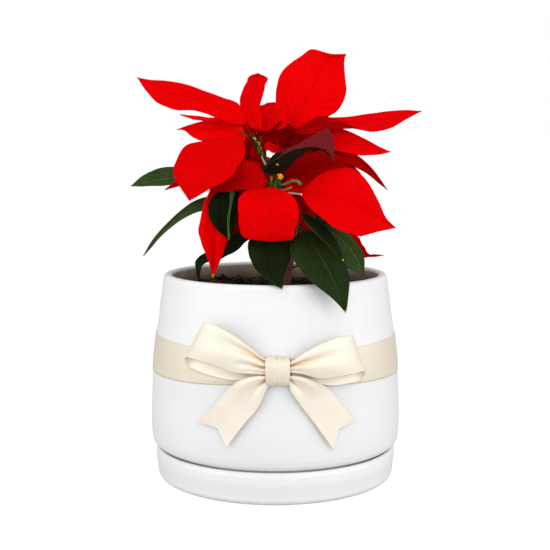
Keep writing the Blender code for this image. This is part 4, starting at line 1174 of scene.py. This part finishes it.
def satin(name, across, along, place, held, node, crease_shade=None, ring=False):
    """One length of ribbon, with its thickness. ring welds its ends."""
    shape = sheet_grid(across, along, place, crease_shade)
    if ring:
        bmesh.ops.remove_doubles(shape, verts=shape.verts, dist=WELD)
    made = piece(name, to_mesh(shape, name), HELD_FINISH[held], "satin_ribbon", node)
    thicken(made, RIBBON_THICK * MM)


def ribbon(node, rows, billow, notch=0.0):
    """A loop or a tail of the bow, gathered into folds at the knot."""
    edges = [[on_wall(*row[side]) for row in rows] for side in (0, 1)]
    middles = [(a + b) / 2 for a, b in zip(*edges)]
    at = lengths(middles)
    folds = FOLDS[node]
    long = sum((b - a).length for a, b in zip(middles, middles[1:]))
    loop = notch == 0.0

    def place(u, v):
        one, other = (hermite(edge, at, v) for edge in edges)
        point = one.lerp(other, (u + 1) / 2)
        outwards = Vector((point.x, point.y, 0)).normalized()
        swell = billow * (1 - u * u) * math.sin(math.pi * (min(1, v / 0.5) if loop else v))
        back = 0
        if loop and v > LOOP_RETURN:
            back = math.cos(2.5 * math.pi * u) * ((v - LOOP_RETURN) / 0.3) ** 2
        crinkle = 0.25 * noise.noise(point * 0.09 + Vector((0, 0, len(node))))
        point += outwards * (swell - fold_depth(folds, u, v) - back + crinkle)
        if notch:
            ahead = (middles[-1] - middles[-2]).normalized()
            point -= ahead * notch * (1 - abs(u)) * max(0, (v - 0.8) / 0.2) ** 2
        return point * MM

    # Share of painted crease shade: the depth of the folds, fading out along the ribbon from the knot
    def crease_shade(u, v):
        crease = max(0, fold_depth(folds, u, v) / 1.7) * max(0, 1 - v / 0.30)
        return min(1, crease)

    satin(node + "_satin", 30, 96, place, "folded" if loop else "draped",
          node, crease_shade)


def band():
    """The ribbon round the pot, which the knot draws in at the front."""
    def place(u, v):
        angle = math.pi * (2 * v - 1)
        degrees = abs(math.degrees(angle))
        height = BAND_MIDDLE + between(degrees, BAND_HALF) * u
        near = max(0, 1 - degrees / 42)
        ripple = 0.4 * near * math.cos(3.4 * math.pi * u + 1)
        radius = wall_radius(height) + 0.18 + 0.5 * near + ripple
        return Vector((radius * math.sin(angle), -radius * math.cos(angle), height)) * MM

    satin("band_satin", 20, 240, place, "stretched", "ribbon_band",
          ring=True)


KNOT_MIDDLE = (1.1, 82.7)
KNOT_HALF = (7.0, 8.3)  # half its width and height
KNOT_OUT = 6.6  # how far its front stands off the pot
KNOT_EDGE = 1.6  # how far its top and bottom do
KNOT_TURN = 112  # degrees it goes round, up and down from the front
KNOT_FLAT = 0.74  # share of the ribbon's half width that shows; the rest is tucked under
# Its folds: place across, half width, depth in the middle, and what the depth gains at the ends
KNOT_FOLDS = [(-0.03, 0.07, 0.12, 1.7), (0.36, 0.08, 0.08, 1.0), (-0.40, 0.06, 0.10, 0.4),
              (0.18, 0.05, 0.1, 0.2)]


def knot():
    """The short turn of ribbon round the middle, its folds up and down and its edges tucked under."""
    def groove(u, ends):
        """Fine creases, and folds that deepen towards the ends."""
        creases = 0.07 * math.cos(27 * u + 1.5) * (1 if u < -0.1 else 0.6)
        return creases + sum((mid + end * ends) * math.exp(-((u - at) / half) ** 2)
                             for at, half, mid, end in KNOT_FOLDS)

    def place(u, v):
        turn = math.radians(KNOT_TURN) * (1 - 2 * v)
        ends = abs(math.sin(turn)) ** 5
        flat = min(1, abs(u) / KNOT_FLAT)
        tuck = max(0, abs(u) - KNOT_FLAT) / (1 - KNOT_FLAT)
        wide = KNOT_HALF[0] * (1.0 - 0.12 * v) - 0.9 * ends
        x = KNOT_MIDDLE[0] + 0.4 * v + math.copysign(
            wide * flat + 0.9 * math.sin(math.pi * tuck) - 2.6 * tuck**2, u)
        under = 0.9 * (1 - math.cos(math.pi * min(1, tuck * 1.2))) + 0.7 * tuck
        high = KNOT_HALF[1] * math.copysign(abs(math.sin(turn)) ** 0.75, turn)
        facing = math.cos(turn)
        out = KNOT_EDGE + (KNOT_OUT - KNOT_EDGE) * max(0, facing) ** 0.7 + 2.2 * min(0, facing)
        crown = 0.5 * (1 - flat**2)
        depth = groove(u, ends)
        high -= math.copysign(ends * (depth + under), turn)
        stand_off = max(0.45, out + crown - (1 - ends) * (depth + under))
        return on_wall(x, KNOT_MIDDLE[1] + high, stand_off) * MM

    # Share of painted crease shade over the knot's folds
    def crease_shade(u, v):
        return min(1, 0.1 + 0.5 * groove(u, abs(2 * v - 1) ** 3))

    satin("knot_satin", 56, 60, place, "gathered", "bow_knot", crease_shade)


band()
knot()
ribbon("bow_loop_left", LOOP_LEFT, 1.8)
ribbon("bow_loop_right", LOOP_RIGHT, 1.8)
ribbon("bow_tail_left", TAIL_LEFT, 0.5, TAIL_NOTCH)
ribbon("bow_tail_right", TAIL_RIGHT, 0.5, TAIL_NOTCH)


# ---------------------------------------------------------------- room, light and camera


WHITE = (1, 1, 1, 1)
FLOOR_HALF = 4  # metres
FLOOR_GLOW = 0.94
SKY_POWER = 0.60
# Soft square panels: place, the point each faces, side and power, in metres and watts
LAMPS = {
    "softbox": ((0.08, -0.70, 1.18), (0, 0, 0.12), 1.5, 3.4),
    "front_left_panel": ((-0.45, -1.2, 0.75), (0, 0, 0.12), 0.9, 1.2),
    "front_right_panel": ((0.5, -1.2, 0.7), (0, 0, 0.12), 0.9, 1.9),
    "front_low_panel": ((0, -1.35, 0.2), (0, 0, 0.06), 1.2, 1.45),
    "left_panel": ((-1.25, -0.55, 0.42), (0, 0, 0.08), 1.4, 11.4),
    "right_panel": ((1.25, -0.55, 0.42), (0, 0, 0.08), 1.4, 11.4),
}
CAMERA_PLACE = (-0.0002, -0.717, 0.2118)
CAMERA_DIP = 0.114  # radians below level
LENS = 72.9  # mm, for a sensor 36 mm wide


def room():
    """A pale floor that glows like a lit table to the camera, under an even white sky."""
    shape = bmesh.new()
    bmesh.ops.create_grid(shape, x_segments=1, y_segments=1, size=FLOOR_HALF)
    floor = bpy.data.objects.new("floor", to_mesh(shape, "floor"))
    bpy.context.scene.collection.objects.link(floor)
    plain = Finish("plain_floor", Base_Color=(0.15, 0.15, 0.15, 1), Roughness=0.9, Specular_IOR_Level=0.0,
                   Emission_Color=WHITE, Emission_Strength=FLOOR_GLOW)
    dull = plain.node("BsdfDiffuse", inputs={"Color": (0.57, 0.57, 0.57, 1)})
    seen = plain.node("LightPath")
    both = plain.node("MixShader", inputs={0: seen, 1: dull, 2: Wire(plain, plain.shader.outputs[0])})
    plain.tree.links.new(both.socket, plain.tree.nodes["Material Output"].inputs["Surface"])
    floor.data.materials.append(plain.material)
    world = bpy.data.worlds.new("studio")
    world.use_nodes = True
    tree = world.node_tree
    sky = tree.nodes["Background"]
    backdrop = tree.nodes.new("ShaderNodeBackground")
    for glow, power in ((sky, SKY_POWER), (backdrop, 1.0)):
        glow.inputs["Color"].default_value = WHITE
        glow.inputs["Strength"].default_value = power
    seen = tree.nodes.new("ShaderNodeLightPath")
    either = tree.nodes.new("ShaderNodeMixShader")
    tree.links.new(seen.outputs["Is Camera Ray"], either.inputs[0])
    tree.links.new(sky.outputs[0], either.inputs[1])
    tree.links.new(backdrop.outputs[0], either.inputs[2])
    tree.links.new(either.outputs[0], tree.nodes["World Output"].inputs["Surface"])
    bpy.context.scene.world = world


def lamp(name, place, target, size, power):
    light = bpy.data.lights.new(name, "AREA")
    light.size = size
    light.energy = power
    obj = bpy.data.objects.new(name, light)
    obj.location = place
    obj.rotation_euler = (Vector(target) - Vector(place)).to_track_quat("-Z", "Y").to_euler()
    bpy.context.scene.collection.objects.link(obj)


def camera():
    view = bpy.data.cameras.new("camera")
    view.lens = LENS
    view.sensor_width = 36
    view.clip_start = 0.05
    obj = bpy.data.objects.new("camera", view)
    obj.location = CAMERA_PLACE
    obj.rotation_euler = (math.pi / 2 - CAMERA_DIP, 0, 0)
    bpy.context.scene.collection.objects.link(obj)
    bpy.context.scene.camera = obj


room()
for name, settings in LAMPS.items():
    lamp(name, *settings)
camera()
bpy.context.scene.view_settings.view_transform = "Standard"
